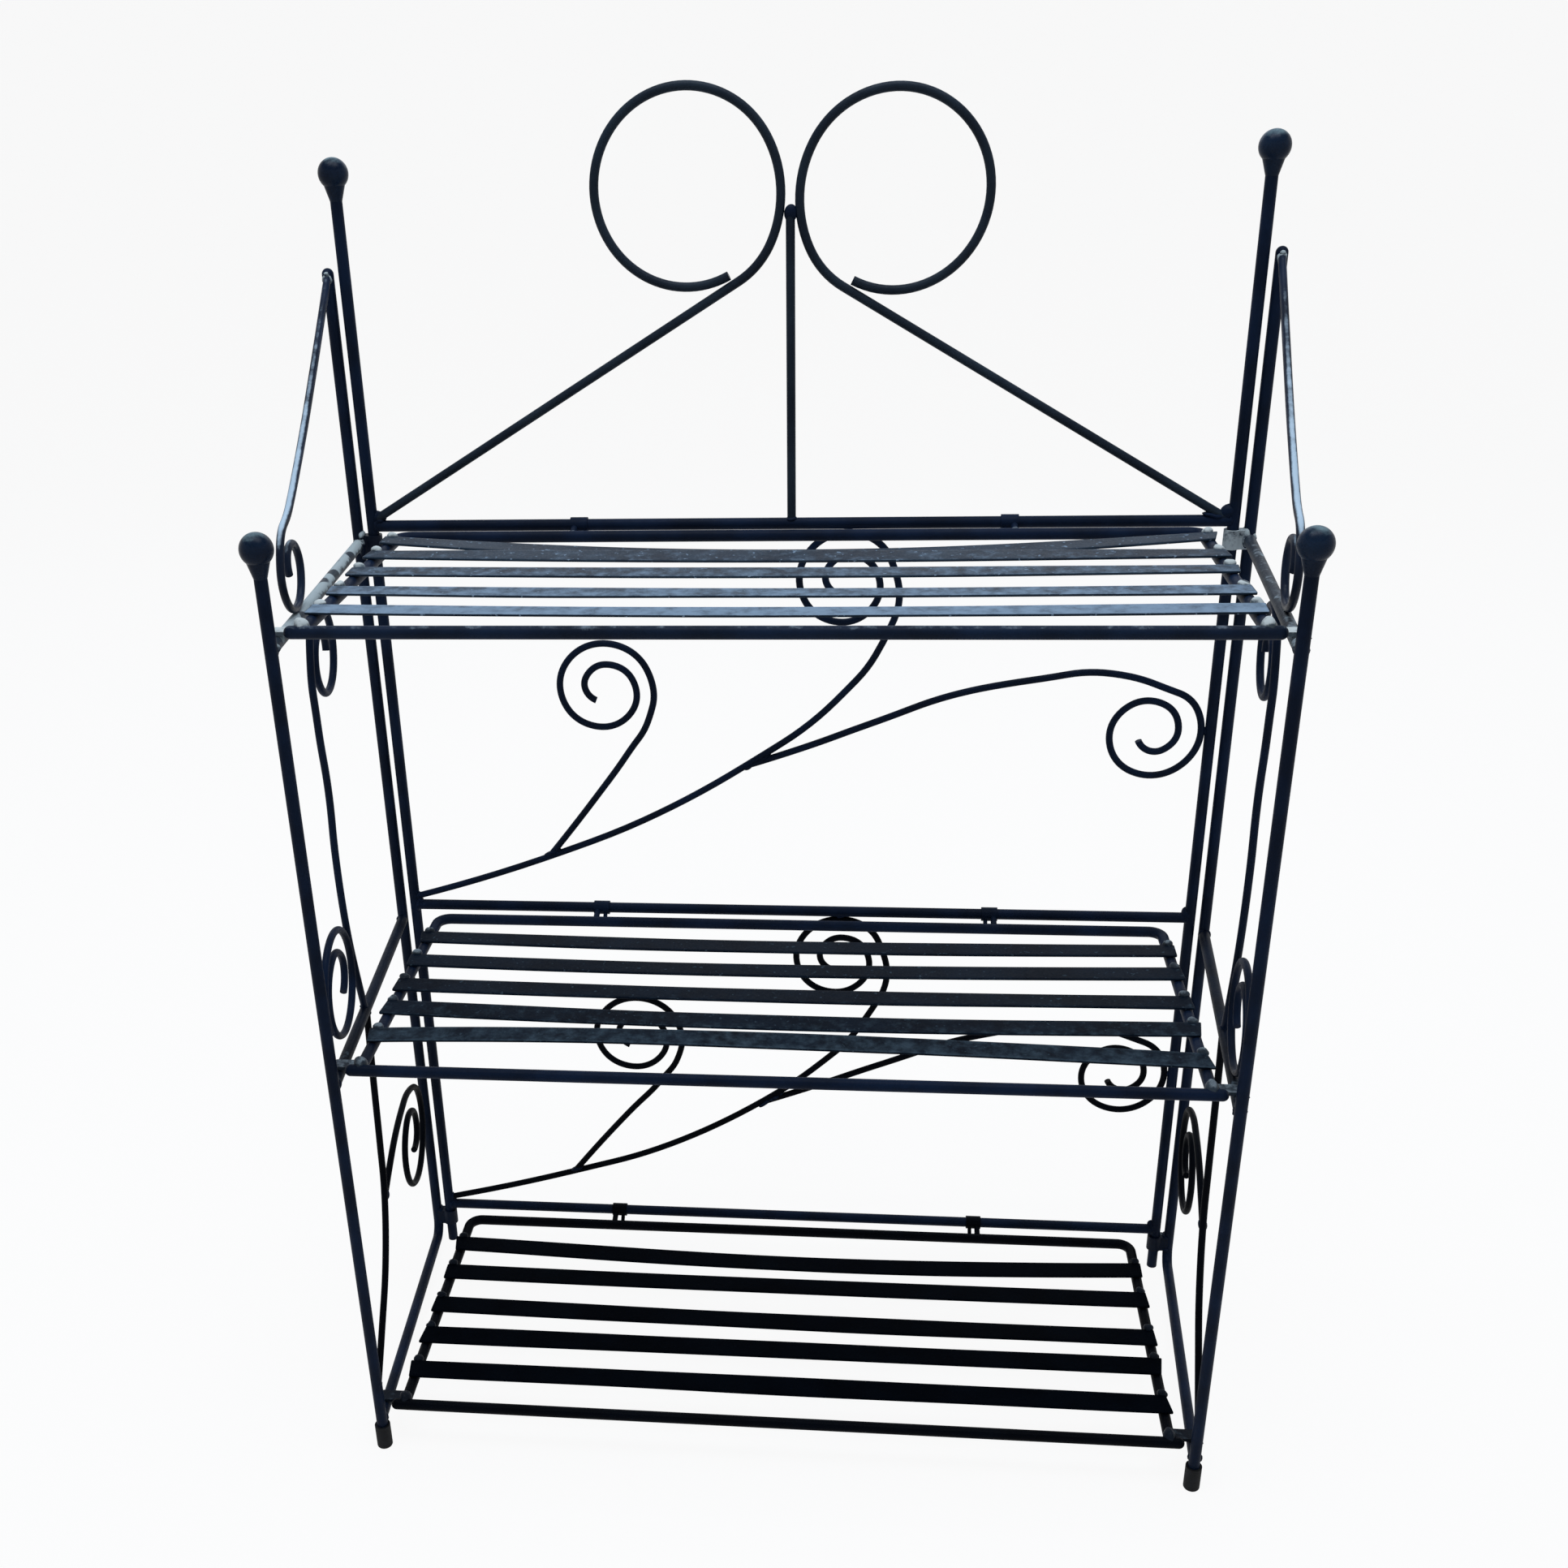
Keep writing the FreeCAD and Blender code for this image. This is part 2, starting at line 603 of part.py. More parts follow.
def foot_cap(label, placement):
    """A soft cap under the front post, rounded below and bored for the post."""
    body = doc.addObject("PartDesign::Body", "FootCap")
    ground = next(plane for plane in body.Origin.OriginFeatures if plane.Role == "XY_Plane")
    outline = body.newObject("Sketcher::SketchObject", "CapOutline")
    outline.AttachmentSupport = (ground, [""])
    outline.MapMode = "FlatFace"
    outline.addGeometry(Part.Circle(FreeCAD.Vector(), UP, size("foot_diameter") / 2), False)
    outline.addConstraint(Sketcher.Constraint("Coincident", 0, 3, -1, 1))
    outline.addConstraint(Sketcher.Constraint("Diameter", 0, size("foot_diameter")))
    outline.setExpression("Constraints[1]", "Dimensions.foot_diameter")
    pad = body.newObject("PartDesign::Pad", "CapBlock")
    pad.Profile = outline
    bind(pad, "Length", "Dimensions.foot_length")
    doc.recompute()
    bore = body.newObject("Sketcher::SketchObject", "CapBore")
    bore.AttachmentSupport = (ground, [""])
    bore.MapMode = "FlatFace"
    bind(bore, "AttachmentOffset.Base.z", "Dimensions.foot_length")
    bore.addGeometry(Part.Circle(FreeCAD.Vector(), UP, main_radius), False)
    bore.addConstraint(Sketcher.Constraint("Coincident", 0, 3, -1, 1))
    bore.addConstraint(Sketcher.Constraint("Diameter", 0, size("main_rod")))
    bore.setExpression("Constraints[1]", "Dimensions.main_rod + 2 * Dimensions.weld_gap")
    pocket = body.newObject("PartDesign::Pocket", "CapSocket")
    pocket.Profile = bore
    bind(pocket, "Length", "Dimensions.foot_length - Dimensions.foot_floor")
    doc.recompute()
    lowest = min(range(len(pocket.Shape.Edges)), key=lambda k: pocket.Shape.Edges[k].CenterOfMass.z)
    rounding = body.newObject("PartDesign::Fillet", "CapRounding")
    rounding.Base = (pocket, [f"Edge{lowest + 1}"])
    bind(rounding, "Radius", "Dimensions.foot_rounding")
    body.Placement.Base = FreeCAD.Vector(0, -depth, 0)
    keep(label, body, placement)


def collar(height, sign, *neighbours):
    """A strap round the back post, welded to the upright beside it."""
    turn = FreeCAD.Rotation(UP, sign * size("toe_in"))
    axis = turn.multVec(RIGHT * (-sign * size("upright_offset"))) + UP * height
    band = doc.addObject("Part::Cylinder", "CollarBand")
    bind(band, "Radius", f"{radius_of('main_rod', LOOSE)} + Dimensions.collar_wall")
    band.Placement.Base = axis
    web = doc.addObject("Part::Box", "CollarWeb")
    bind(web, "Length", "Dimensions.upright_offset")
    bind(web, "Width", "Dimensions.main_rod")
    for flat in (band, web):
        bind(flat, "Height", "Dimensions.collar_length")
    corner = FreeCAD.Vector(min(-sign * size("upright_offset"), 0), -main_radius, height)
    web.Placement = FreeCAD.Placement(turn.multVec(corner), turn)
    strap = doc.addObject("Part::Fuse", "CollarStrap")
    strap.Base = band
    strap.Tool = web
    bore = straight_rod("main_rod", axis, axis + UP * size("collar_length"), LOOSE)
    return coped(strap, bore, *neighbours)


def side_frame(side, sign):
    """All the pieces of one side frame."""
    toe = FreeCAD.Rotation(UP, -sign * size("toe_in"))
    spot = FreeCAD.Placement(FreeCAD.Vector(sign * upright_x, 0, 0), toe)
    upright_cutter = upright_rod(GROWN)
    post_low, post_high = in_side([(depth, size("foot_floor")), (depth, post_top("front_ball_height"))])
    post_length = f"{post_top_formula('front_ball_height')} - Dimensions.foot_floor"
    keep(f"{side}_front_post", straight_rod("main_rod", post_low, post_high, length=post_length), spot)
    post_cutter = straight_rod("main_rod", post_low, post_high, GROWN)
    keep(f"{side}_upright", coped(upright_rod(), post_cutter), spot)
    finial(f"{side}_front_finial", "front_ball_height", FreeCAD.Vector(0, -depth, 0), spot)
    foot_cap(f"{side}_foot_cap", spot)
    rail_cutters = {}
    for name in ("top", "middle"):
        ends = in_side([(0, rail_height(name)), (depth, rail_height(name))])
        rail = straight_rod("main_rod", *ends, length="Dimensions.side_depth")
        keep(f"{side}_{name}_rail", coped(rail, upright_cutter, post_cutter), spot)
        rail_cutters[name] = straight_rod("main_rod", *ends, GROWN)

    # The arm leaves the peak of the upright and ends in a curl on the top rail.
    arm_rise = dome_height - top_rail
    arm_bottom_share = (ARM_CURL_START + 90) / 360 / ARM_CURL_TURNS
    arm_outer = size("arm_curl_radius")
    arm_inner = size("arm_curl_eye_radius")
    arm_lift = touch + curl_radius_at(arm_bottom_share, arm_outer, arm_inner, CURL_EASE_RATIO)
    arm_eye = (ARM_EYE_SHARE * depth, top_rail + arm_lift)
    arm_places = spread(ARM_SHARES, 0, depth, top_rail, arm_rise)
    arm_places += curl(arm_eye, ARM_CURL_START, -ARM_CURL_TURNS, arm_outer, arm_inner)
    arm = bent_rod("scroll_rod", smooth_path(in_side(arm_places)))
    keep(f"{side}_arm", coped(arm, upright_cutter), spot)

    # Upper bay: a curl in the corner of front post and middle rail, higher on the left. Behind it hangs a
    # scroll from the top rail, with its places counted from the curl's eye in shares of the curl's radius,
    # and cut to the curl where the two meet.
    front_share = -FRONT_CURL_START / 360 / FRONT_CURL_TURNS
    bottom_share = (270 - FRONT_CURL_START) / 360 / FRONT_CURL_TURNS
    front_outer = size("front_curl_radius")
    front_inner = size("front_curl_eye_radius")
    front_reach = curl_radius_at(front_share, front_outer, front_inner, FRONT_CURL_EASE_RATIO)
    front_lift = curl_radius_at(bottom_share, front_outer, front_inner, FRONT_CURL_EASE_RATIO)
    front_eye = (depth - touch - front_reach, middle_rail + touch + front_lift + curl_lifts[side])
    front_sizes = (front_outer, front_inner, FRONT_CURL_EASE_RATIO)
    front_places = curl(front_eye, FRONT_CURL_START, FRONT_CURL_TURNS, *front_sizes)
    front_path = smooth_path(in_side(front_places))
    front_curl = bent_rod("scroll_rod", front_path)
    keep(f"{side}_front_curl", coped(front_curl, post_cutter, rail_cutters["middle"]), spot)
    curl_cutter = bent_rod("scroll_rod", front_path, GROWN)
    hang_outer = size("side_curl_radius")
    hang_quarter = curl_radius_at(QUARTER_SHARE / CURL_TURNS, hang_outer, curl_inner, CURL_EASE_RATIO)
    hang_eye = (front_eye[0] - UPPER_S_EYE_SHARE * front_outer, top_rail - touch - hang_quarter)
    hang_places = spread(UPPER_S_SHARES, front_eye[0], -front_outer, middle_rail, top_rail - middle_rail)
    hang_places += curl(hang_eye, 0, CURL_TURNS, hang_outer, curl_inner)
    hang = bent_rod("scroll_rod", smooth_path(in_side(hang_places)))
    keep(f"{side}_upper_scroll", coped(hang, rail_cutters["middle"], curl_cutter), spot)

    # Lower bay: a stem from the middle rail to the foot of the front post, with a curled branch.
    low = bottom_rail_height(depth)
    lower_bay = (0, depth, low, middle_rail - low)
    stem_path = smooth_path(in_side(spread(LOWER_S_SHARES, *lower_bay)))
    stem = bent_rod("scroll_rod", stem_path)
    keep(f"{side}_lower_scroll", coped(stem, rail_cutters["middle"], post_cutter), spot)
    branch_eye = spread([LOWER_BRANCH_EYE_SHARES], *lower_bay)[0]
    branch_places = spread(LOWER_BRANCH_SHARES, *lower_bay)
    branch_places += curl(branch_eye, 90, CURL_TURNS, size("branch_curl_radius"), curl_inner)
    curled_path = branch_path(stem_path, LOWER_FORK_COUNT, LOWER_FORK_SHARE, in_side(branch_places))
    branch = coped(bent_rod("scroll_rod", curled_path), fork_cutter(stem_path, LOWER_FORK_COUNT))
    keep(f"{side}_lower_branch", branch, spot)

    collar_reach = main_radius + size("collar_drop") + size("collar_length")
    heights = [bar_height(name) - collar_reach for name in ("top", "bottom")]
    collars = [collar(height, sign, upright_cutter, rail_cutters["top"]) for height in heights]
    keep(f"{side}_hinge_collars", group(collars), spot)


for side, sign in SIDES:
    side_frame(side, sign)

doc.recompute()
failed = [item.Name for item in doc.Objects if "Invalid" in item.State or "Error" in item.State]
faulty = [piece.Label for piece in pieces if piece.Shape.isNull() or not piece.Shape.isValid()]
if failed or faulty:
    raise RuntimeError(f"failed objects {failed}, faulty pieces {faulty}")
os.makedirs("parts", exist_ok=True)
for piece in pieces:
    piece.Shape.exportStep(f"parts/{piece.Label}.step")
    print(piece.Label, len(piece.Shape.Solids), round(piece.Shape.Volume))
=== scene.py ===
# %% [markdown]
# # A folding bakers rack
# The rack is round iron rod, bent cold, welded, brushed with blue-black paint and then left out in the
# weather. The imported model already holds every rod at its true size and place, so this lesson adds what the
# hand and the weather did: slats that are not quite straight, lumps of weld at the joints, and paint that
# has gone chalky.

# %% Load the rack
import itertools
import json

import bpy
import numpy as np
from mathutils import Matrix, Vector
from mathutils.bvhtree import BVHTree


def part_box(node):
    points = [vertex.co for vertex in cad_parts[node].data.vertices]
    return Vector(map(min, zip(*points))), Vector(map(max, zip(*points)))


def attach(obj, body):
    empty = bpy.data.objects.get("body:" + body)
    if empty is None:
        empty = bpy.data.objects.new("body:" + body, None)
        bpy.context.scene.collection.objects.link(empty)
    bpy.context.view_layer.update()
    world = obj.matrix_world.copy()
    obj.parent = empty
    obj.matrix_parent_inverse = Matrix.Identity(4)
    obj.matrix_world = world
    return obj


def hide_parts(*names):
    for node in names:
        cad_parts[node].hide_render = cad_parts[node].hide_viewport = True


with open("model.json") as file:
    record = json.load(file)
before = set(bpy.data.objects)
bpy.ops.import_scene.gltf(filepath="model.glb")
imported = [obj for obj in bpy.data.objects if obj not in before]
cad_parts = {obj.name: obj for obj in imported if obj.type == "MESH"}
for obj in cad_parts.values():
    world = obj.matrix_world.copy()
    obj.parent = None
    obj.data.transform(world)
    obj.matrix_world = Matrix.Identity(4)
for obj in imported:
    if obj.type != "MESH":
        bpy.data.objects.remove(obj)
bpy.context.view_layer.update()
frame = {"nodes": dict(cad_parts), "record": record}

MM = 0.001
scene = bpy.context.scene
bodies = frame["record"]["behaviour"]["bodies"]

# %% [markdown]
# The picture looks down on the rack from a little right of its middle. A camera can be set by eye, but the
# straight posts and bars of the rack give away where it stood, so its place, its turns and its lens are
# worked out from them. The lens axis is not in the middle of the picture, which is what the two shifts are
# for.

# %% Camera
IMAGE_PX = 1932
FOCAL_PX = 2102.2
AXIS_PX = (846.41, 1131.27)
SENSOR_MM = 36
CAMERA_MM = (60.69, -1063.43, 909.42)
PITCH_DEG = 26.27
YAW_DEG = -6.9
ROLL_DEG = 2.01

pitch, yaw, roll = np.radians((PITCH_DEG, YAW_DEG, ROLL_DEG))
forward = np.array((np.sin(yaw) * np.cos(pitch), np.cos(yaw) * np.cos(pitch), -np.sin(pitch)))
level = np.array((np.cos(yaw), -np.sin(yaw), 0))
below = np.cross(forward, level)
right = level * np.cos(roll) + below * np.sin(roll)
down = below * np.cos(roll) - level * np.sin(roll)

lens = bpy.data.cameras.new("picture_camera")
lens.sensor_width = SENSOR_MM
lens.lens = FOCAL_PX / IMAGE_PX * SENSOR_MM
lens.shift_x = 0.5 - AXIS_PX[0] / IMAGE_PX
lens.shift_y = AXIS_PX[1] / IMAGE_PX - 0.5
camera = bpy.data.objects.new("picture_camera", lens)
camera_frame = np.eye(4)
camera_frame[:3] = np.column_stack((right, -down, -forward, np.array(CAMERA_MM) * MM))
camera.matrix_world = Matrix(camera_frame.tolist())
scene.collection.objects.link(camera)
scene.camera = camera
print("lens", round(lens.lens, 2), "mm, shifts", round(lens.shift_x, 4), round(lens.shift_y, 4))

# %% [markdown]
# Every new piece goes the same way into the scene: an array of points in millimetres and an array of faces
# become a mesh whose object stays at the origin, and the piece then rides on the body that carries it. A
# closed surface has its outside outside when the volume summed over its faces is positive, so the faces are
# turned if it is not.

# %% Pieces from arrays
def outward(points, faces):
    """Faces in the order that makes the enclosed volume, summed over corner triples, positive."""
    first, second, third = (points[faces[:, k]] for k in range(3))
    volume = np.einsum("ij,ij->i", first, np.cross(second, third)).sum()
    return faces if volume > 0 else faces[:, ::-1]


def put_in_scene(name, points, faces):
    """A smooth-shaded object at the origin, from points in millimetres and lists of faces."""
    mesh = bpy.data.meshes.new(name)
    mesh.from_pydata((points * MM).tolist(), [], faces)
    mesh.polygons.foreach_set("use_smooth", np.ones(len(mesh.polygons), bool))
    mesh.validate()
    made = bpy.data.objects.new(name, mesh)
    scene.collection.objects.link(made)
    print(name, len(mesh.vertices), "points")
    return made


def node_corners(node):
    """The corners of a rack node's triangles, in millimetres, as an array of triangle by corner by axis."""
    mesh = frame["nodes"][node].data
    mesh.calc_loop_triangles()
    places = np.empty(len(mesh.vertices) * 3, np.float32)
    mesh.vertices.foreach_get("co", places)
    order = np.empty(len(mesh.loop_triangles) * 3, np.int32)
    mesh.loop_triangles.foreach_get("vertices", order)
    return places.reshape(-1, 3)[order.reshape(-1, 3)].astype(float) / MM


# %% [markdown]
# Each shelf has five slats of thin flat iron. A plain box would do from afar, but these were cut by hand,
# welded down by eye and then stood on for years: no two gaps are alike, the ends are askew, and most slats
# sag, the rear one of the top shelf by more than a centimetre. So a rounded flat section is carried along a
# line that sags and waves.

# %% One slat
SLAT_WIDTH = 18
SLAT_EDGE = 0.55
SLAT_STATIONS = 72
END_ROUNDING = 0.8
END_SHARE = 0.93
EDGE_WANDER = 0.4
LEVEL_WANDER = 0.22
END_SKEW = 0.8
WAVE_COUNTS = np.array((1.7, 3.4, 5.1))
FLAT_POINTS = 7
ARC_POINTS = 4
MIDDLE_SHARE = 0.5


def flat_section(thickness):
    """A flat bar's outline: four straight sides, and corners that are quarter turns of the edge radius."""
    half_width = SLAT_WIDTH / 2 - SLAT_EDGE
    half_height = thickness / 2 - SLAT_EDGE
    turns = (np.arange(4)[:, None] + np.linspace(0, 1, ARC_POINTS)[None]) * np.pi / 2
    across = half_width * np.array((1, -1, -1, 1))[:, None] + SLAT_EDGE * np.cos(turns)
    up = half_height * np.array((1, 1, -1, -1))[:, None] + SLAT_EDGE * np.sin(turns)
    flat = np.linspace(half_width, -half_width, FLAT_POINTS + 2)[1:-1]
    across = np.concatenate((across[0], flat, across[1], across[2], -flat, across[3]))
    level_top = np.full(FLAT_POINTS, thickness / 2)
    up = np.concatenate((up[0], level_top, up[1], up[2], -level_top, up[3]))
    return across, up


def slat_points(low, high, middle, bend, rng):
    """The section carried from end to end: the line leans from its left to its right shift and sags as
    sin(pi * share ** power), with the power that puts the deepest place at its share. Its level, its tilt and
    both long edges wave as sums of three sines, its ends are askew, and the last stations draw in to close
    them. Beside the points it gives how near each is to a long edge, from 0 to 1."""
    left, right, sag, deepest, tip = bend
    inner = np.linspace(low[0], high[0], SLAT_STATIONS)[1:-1]
    ends = low[0], low[0], low[0] + END_ROUNDING, high[0] - END_ROUNDING, high[0], high[0]
    x = np.concatenate((ends[:3], inner, ends[3:]))[:, None]
    along = (x - low[0]) / (high[0] - low[0])
    draw = np.ones(x.shape)
    draw[[0, -1]] = 0
    draw[[1, -2]] = END_SHARE
    phases = rng.uniform(0, 2 * np.pi, (4, 1, 3))
    waves = np.sin(np.pi * WAVE_COUNTS * along + phases) / WAVE_COUNTS
    rear, front, lift, twist = waves.sum(-1, keepdims=True)
    skews = rng.normal(0, END_SKEW, 2)
    across, up = flat_section(high[2] - low[2])
    shares = across / (SLAT_WIDTH / 2)
    wander = EDGE_WANDER * np.where(shares > 0, rear, front) * np.abs(shares)
    line = middle + left + (right - left) * along
    power = np.log(MIDDLE_SHARE) / np.log(deepest)
    level = (low[2] + high[2]) / 2 - sag * np.sin(np.pi * along ** power)
    y = line + draw * (across + wander)
    tilt = tip * np.sin(np.pi * along) + LEVEL_WANDER * twist
    z = level + LEVEL_WANDER * lift * np.sin(np.pi * along) + draw * (up + tilt * shares)
    x = x + draw * shares * (skews[0] * (1 - along) + skews[1] * along)
    return np.stack((x, y, z), -1), np.broadcast_to(np.abs(shares), y.shape)


def tube_faces(stations, around):
    """Quads of a grid of stations by points around that closes on itself."""
    row = np.arange(stations - 1)[:, None] * around
    here = np.arange(around)[None]
    after = (here + 1) % around
    return np.stack((row + here, row + after, row + around + after, row + around + here), -1).reshape(-1, 4)


print("slat section", 4 * ARC_POINTS + 2 * FLAT_POINTS, "points")

# %% [markdown]
# The bends of the fifteen slats were read off one by one. The slats of a shelf become one piece, which
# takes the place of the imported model's straight slats and keeps, as an attribute, how near each point is to
# a long edge, where paint wears first.

# %% Slats
MERGE_REACH_MM = 0.001
# For each slat, from the rear one to the front one: how far its left and its right end stand to the rear of
# even spacing, how deep it sags, at what share of its length it is deepest, and how far its rear edge is
# tipped up.
SLAT_BENDS = {
    "top_shelf": (
        (13, 12, 12, 0.5, 1.2),
        (12, 6, 1.4, 0.5, 1.2),
        (8.5, 7.5, 1.5, 0.5, 0.4),
        (2.5, 0, 1.9, 0.5, 0),
        (0, 0, 2, 0.5, 0),
    ),
    "middle_shelf": (
        (-1.5, 0, 3, 0.5, 0),
        (0, 4, 3.6, 0.5, 0),
        (1.5, 1, 2.3, 0.5, 0),
        (7.5, 3.5, 4, 0.5, 0.6),
        (7, 2, -5.5, 0.42, 0.6),
    ),
    "bottom_shelf": (
        (0, 0, 7.5, 0.55, 0),
        (2, 2, 1.2, 0.5, 0),
        (0, -3.5, 1.5, 0.5, 0),
        (2.4, 3.5, 0, 0.5, 0.3),
        (2.3, 2.3, 0, 0.5, 0.5),
    ),
}


def slat_box(shelf):
    """The box of the rack's own slats, in millimetres, and the middles of evenly spaced slats in it."""
    low, high = (np.array(corner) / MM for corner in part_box(shelf + "_slats"))
    return low, high, np.linspace(high[1] - SLAT_WIDTH / 2, low[1] + SLAT_WIDTH / 2, len(SLAT_BENDS[shelf]))


def shelf_slats(shelf):
    """The slats of a shelf, each with its own bend, with end rings merged to single points."""
    low, high, middles = slat_box(shelf)
    rng = np.random.default_rng(len(shelf))
    points, faces, rims, base = [], [], [], 0
    for middle, bend in zip(middles, SLAT_BENDS[shelf]):
        grid, rim = slat_points(low, high, middle, bend, rng)
        quads = tube_faces(*grid.shape[:2])
        flat = grid.reshape(-1, 3)
        faces.append(outward(flat - flat.mean(0), quads) + base)
        points.append(flat)
        rims.append(rim.ravel())
        base += len(flat)
    name = shelf + "_hand_cut_slats"
    made = put_in_scene(name, np.concatenate(points), np.concatenate(faces).tolist())
    rim = made.data.attributes.new("rim", "FLOAT", "POINT")
    rim.data.foreach_set("value", np.concatenate(rims).astype(np.float32))
    merge = made.modifiers.new("closed_ends", "WELD")
    merge.merge_threshold = MERGE_REACH_MM * MM
    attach(made, shelf)
    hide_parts(shelf + "_slats")
    return made


slats = {shelf: shelf_slats(shelf) for shelf in SLAT_BENDS}

# %% [markdown]
# Where two rods meet, the real rack has a lump of weld under the paint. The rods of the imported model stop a
# hair short of each other, so the joints can be found by looking for corners of one rod that almost touch
# another rod of the same body. Each group of such corners tells where the lump sits and how it lies.

# %% Find the joints
WELD_REACH = 0.25
WELD_SPREAD = 9
PLAIN_JOINTS = ("finial", "foot_cap", "slats")


def corner_tree(corners):
    """A search tree over triangles, given as an array of triangle by corner by axis."""
    order = np.arange(corners.size // 3).reshape(-1, 3)
    return BVHTree.FromPolygons(corners.reshape(-1, 3).tolist(), order.tolist())


def weld_places(members):
    """Groups of corners of one node that lie within reach of another node of the same body."""
    members = [node for node in members if not any(words in node for words in PLAIN_JOINTS)]
    corners = {node: node_corners(node) for node in members}
    spots = {node: np.unique(np.round(c.reshape(-1, 3), 2), axis=0) for node, c in corners.items()}
    trees = {node: corner_tree(c) for node, c in corners.items()}
    groups = []
    for one, other in itertools.permutations(members, 2):
        low, high = (spots[other].min(0) - WELD_REACH, spots[other].max(0) + WELD_REACH)
        near = spots[one][((spots[one] > low) & (spots[one] < high)).all(1)]
        touching = [trees[other].find_nearest(Vector(spot), WELD_REACH)[0] is not None for spot in near]
        left = near[np.array(touching, bool)]
        while len(left):
            beside = np.linalg.norm(left - left[0], axis=1) < WELD_SPREAD
            groups.append(left[beside])
            left = left[~beside]
    return groups


weld_groups = {body: weld_places(members) for body, members in bodies.items()}

# %% [markdown]
# A weld lump is a drop of metal that froze: rounded, uneven, a little wider than the joint. A sphere's grid
# of directions is pushed in and out by a few sines, stretched to the joint's own three extents and turned
# to lie along it. All lumps of one body are worked out at once and make one piece.

# %% Weld lumps
LUMP_TURNS = 18
LUMP_ROWS = 10
LUMP_UNEVEN = 0.07
LUMP_WAVE = 2.2
LUMP_GROWTH = 1.05
LUMP_RIM = 0.55
LUMP_LEAST = 1.8


def lump_directions():
    """Unit directions of a sphere: rows of turns between two poles."""
    tilt = np.linspace(0, np.pi, LUMP_ROWS + 2)[1:-1, None]
    turn = np.linspace(0, 2 * np.pi, LUMP_TURNS, endpoint=False)[None]
    sideways = np.sin(tilt) * np.cos(turn), np.sin(tilt) * np.sin(turn)
    rows = np.stack(np.broadcast_arrays(*sideways, np.cos(tilt)), -1)
    return np.concatenate((rows.reshape(-1, 3), ((0, 0, 1), (0, 0, -1))))


def lump_faces():
    """Quads between the rows and triangles at the two poles, as one list of corners each."""
    quads = tube_faces(LUMP_ROWS, LUMP_TURNS)
    here = np.arange(LUMP_TURNS)
    after = (here + 1) % LUMP_TURNS
    last = (LUMP_ROWS - 1) * LUMP_TURNS
    north = np.stack((np.full(LUMP_TURNS, last + LUMP_TURNS), here, after), -1)
    south = np.stack((np.full(LUMP_TURNS, last + LUMP_TURNS + 1), last + after, last + here), -1)
    return quads[:, ::-1], np.concatenate((north, south))


def weld_lumps(name, body, centres, axes, radii):
    """Each lump is its centre, plus its axes times radii times direction times one plus a few sines of the
    direction."""
    rng = np.random.default_rng(len(centres))
    directions = lump_directions()
    waves = rng.normal(0, LUMP_WAVE, (len(centres), 3, 3))
    phases = rng.uniform(0, 2 * np.pi, (len(centres), 1, 3))
    uneven = np.sin(np.einsum("nd,kdw->knw", directions, waves) + phases).sum(-1) * LUMP_UNEVEN
    stretched = directions[None] * (1 + uneven[..., None]) * radii[:, None]
    points = centres[:, None] + np.einsum("knr,krd->knd", stretched, axes)
    starts = (np.arange(len(centres)) * len(directions))[:, None, None]
    quads, fans = (faces[None] + starts for faces in lump_faces())
    faces = quads.reshape(-1, 4).tolist() + fans.reshape(-1, 3).tolist()
    made = put_in_scene(name, points.reshape(-1, 3), faces)
    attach(made, body)
    return made


def joint_shape(group):
    """Centre, axes and radii of a lump that covers a group of corners, by the group's main directions."""
    centre = group.mean(0)
    axes = np.linalg.svd(group - centre, full_matrices=True)[2] if len(group) > 2 else np.eye(3)
    if np.linalg.det(axes) < 0:
        axes[2] = -axes[2]
    extent = np.abs((group - centre) @ axes.T).max(0)
    return centre, axes, np.maximum(extent * LUMP_GROWTH + LUMP_RIM, LUMP_LEAST)


welds = {}
for body, groups in weld_groups.items():
    shapes = [joint_shape(group) for group in groups]
    welds[body] = weld_lumps(body + "_welds", body, *(np.array(part) for part in zip(*shapes)))

# %% [markdown]
# Some welds are bigger than the joint they close. Each slat is held by a bead behind its rear corner at
# both ends, each side rod of a shelf by a blob on the front rod, and on the back frame the corners of posts
# and crossbars are filled and a blob joins the two crest loops to the rod between them.

# %% Beads and webs
ROD_RADIUS = 4
BEAD_RADII = (3.8, 3.4, 3)
BEAD_SETBACK = 2
BEAD_LIFT = 0.8
BLOB_RADII = (4.4, 6, 4.6)
BLOB_LIFT = 2.6
BLOB_SETBACK = 3


def upright_axes(count):
    """The rack's own axes, once for each of so many lumps."""
    return np.tile(np.eye(3), (count, 1, 1))


def shelf_beads(shelf):
    """A bead behind the rear edge of each slat's ends, and a blob where a side rod meets the front rod."""
    low, _, middles = slat_box(shelf)
    rod_low, rod_high = (np.array(corner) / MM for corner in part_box(shelf + "_frame"))
    shifts = np.array(SLAT_BENDS[shelf])[:, :2]
    rear = middles[:, None] + shifts + SLAT_WIDTH / 2 + BEAD_SETBACK
    sides = np.array((rod_low[0] + ROD_RADIUS, rod_high[0] - ROD_RADIUS))
    beads = np.stack(np.broadcast_arrays(sides, rear, low[2] + BEAD_LIFT), -1).reshape(-1, 3)
    front, level = rod_low[1] + BLOB_SETBACK, low[2] - ROD_RADIUS + BLOB_LIFT
    blobs = np.stack(np.broadcast_arrays(sides, front, level), -1)
    radii = np.concatenate((np.tile(BEAD_RADII, (len(beads), 1)), np.tile(BLOB_RADII, (len(blobs), 1))))
    centres = np.concatenate((beads, blobs))
    return weld_lumps(shelf + "_slat_beads", shelf, centres, upright_axes(len(centres)), radii)


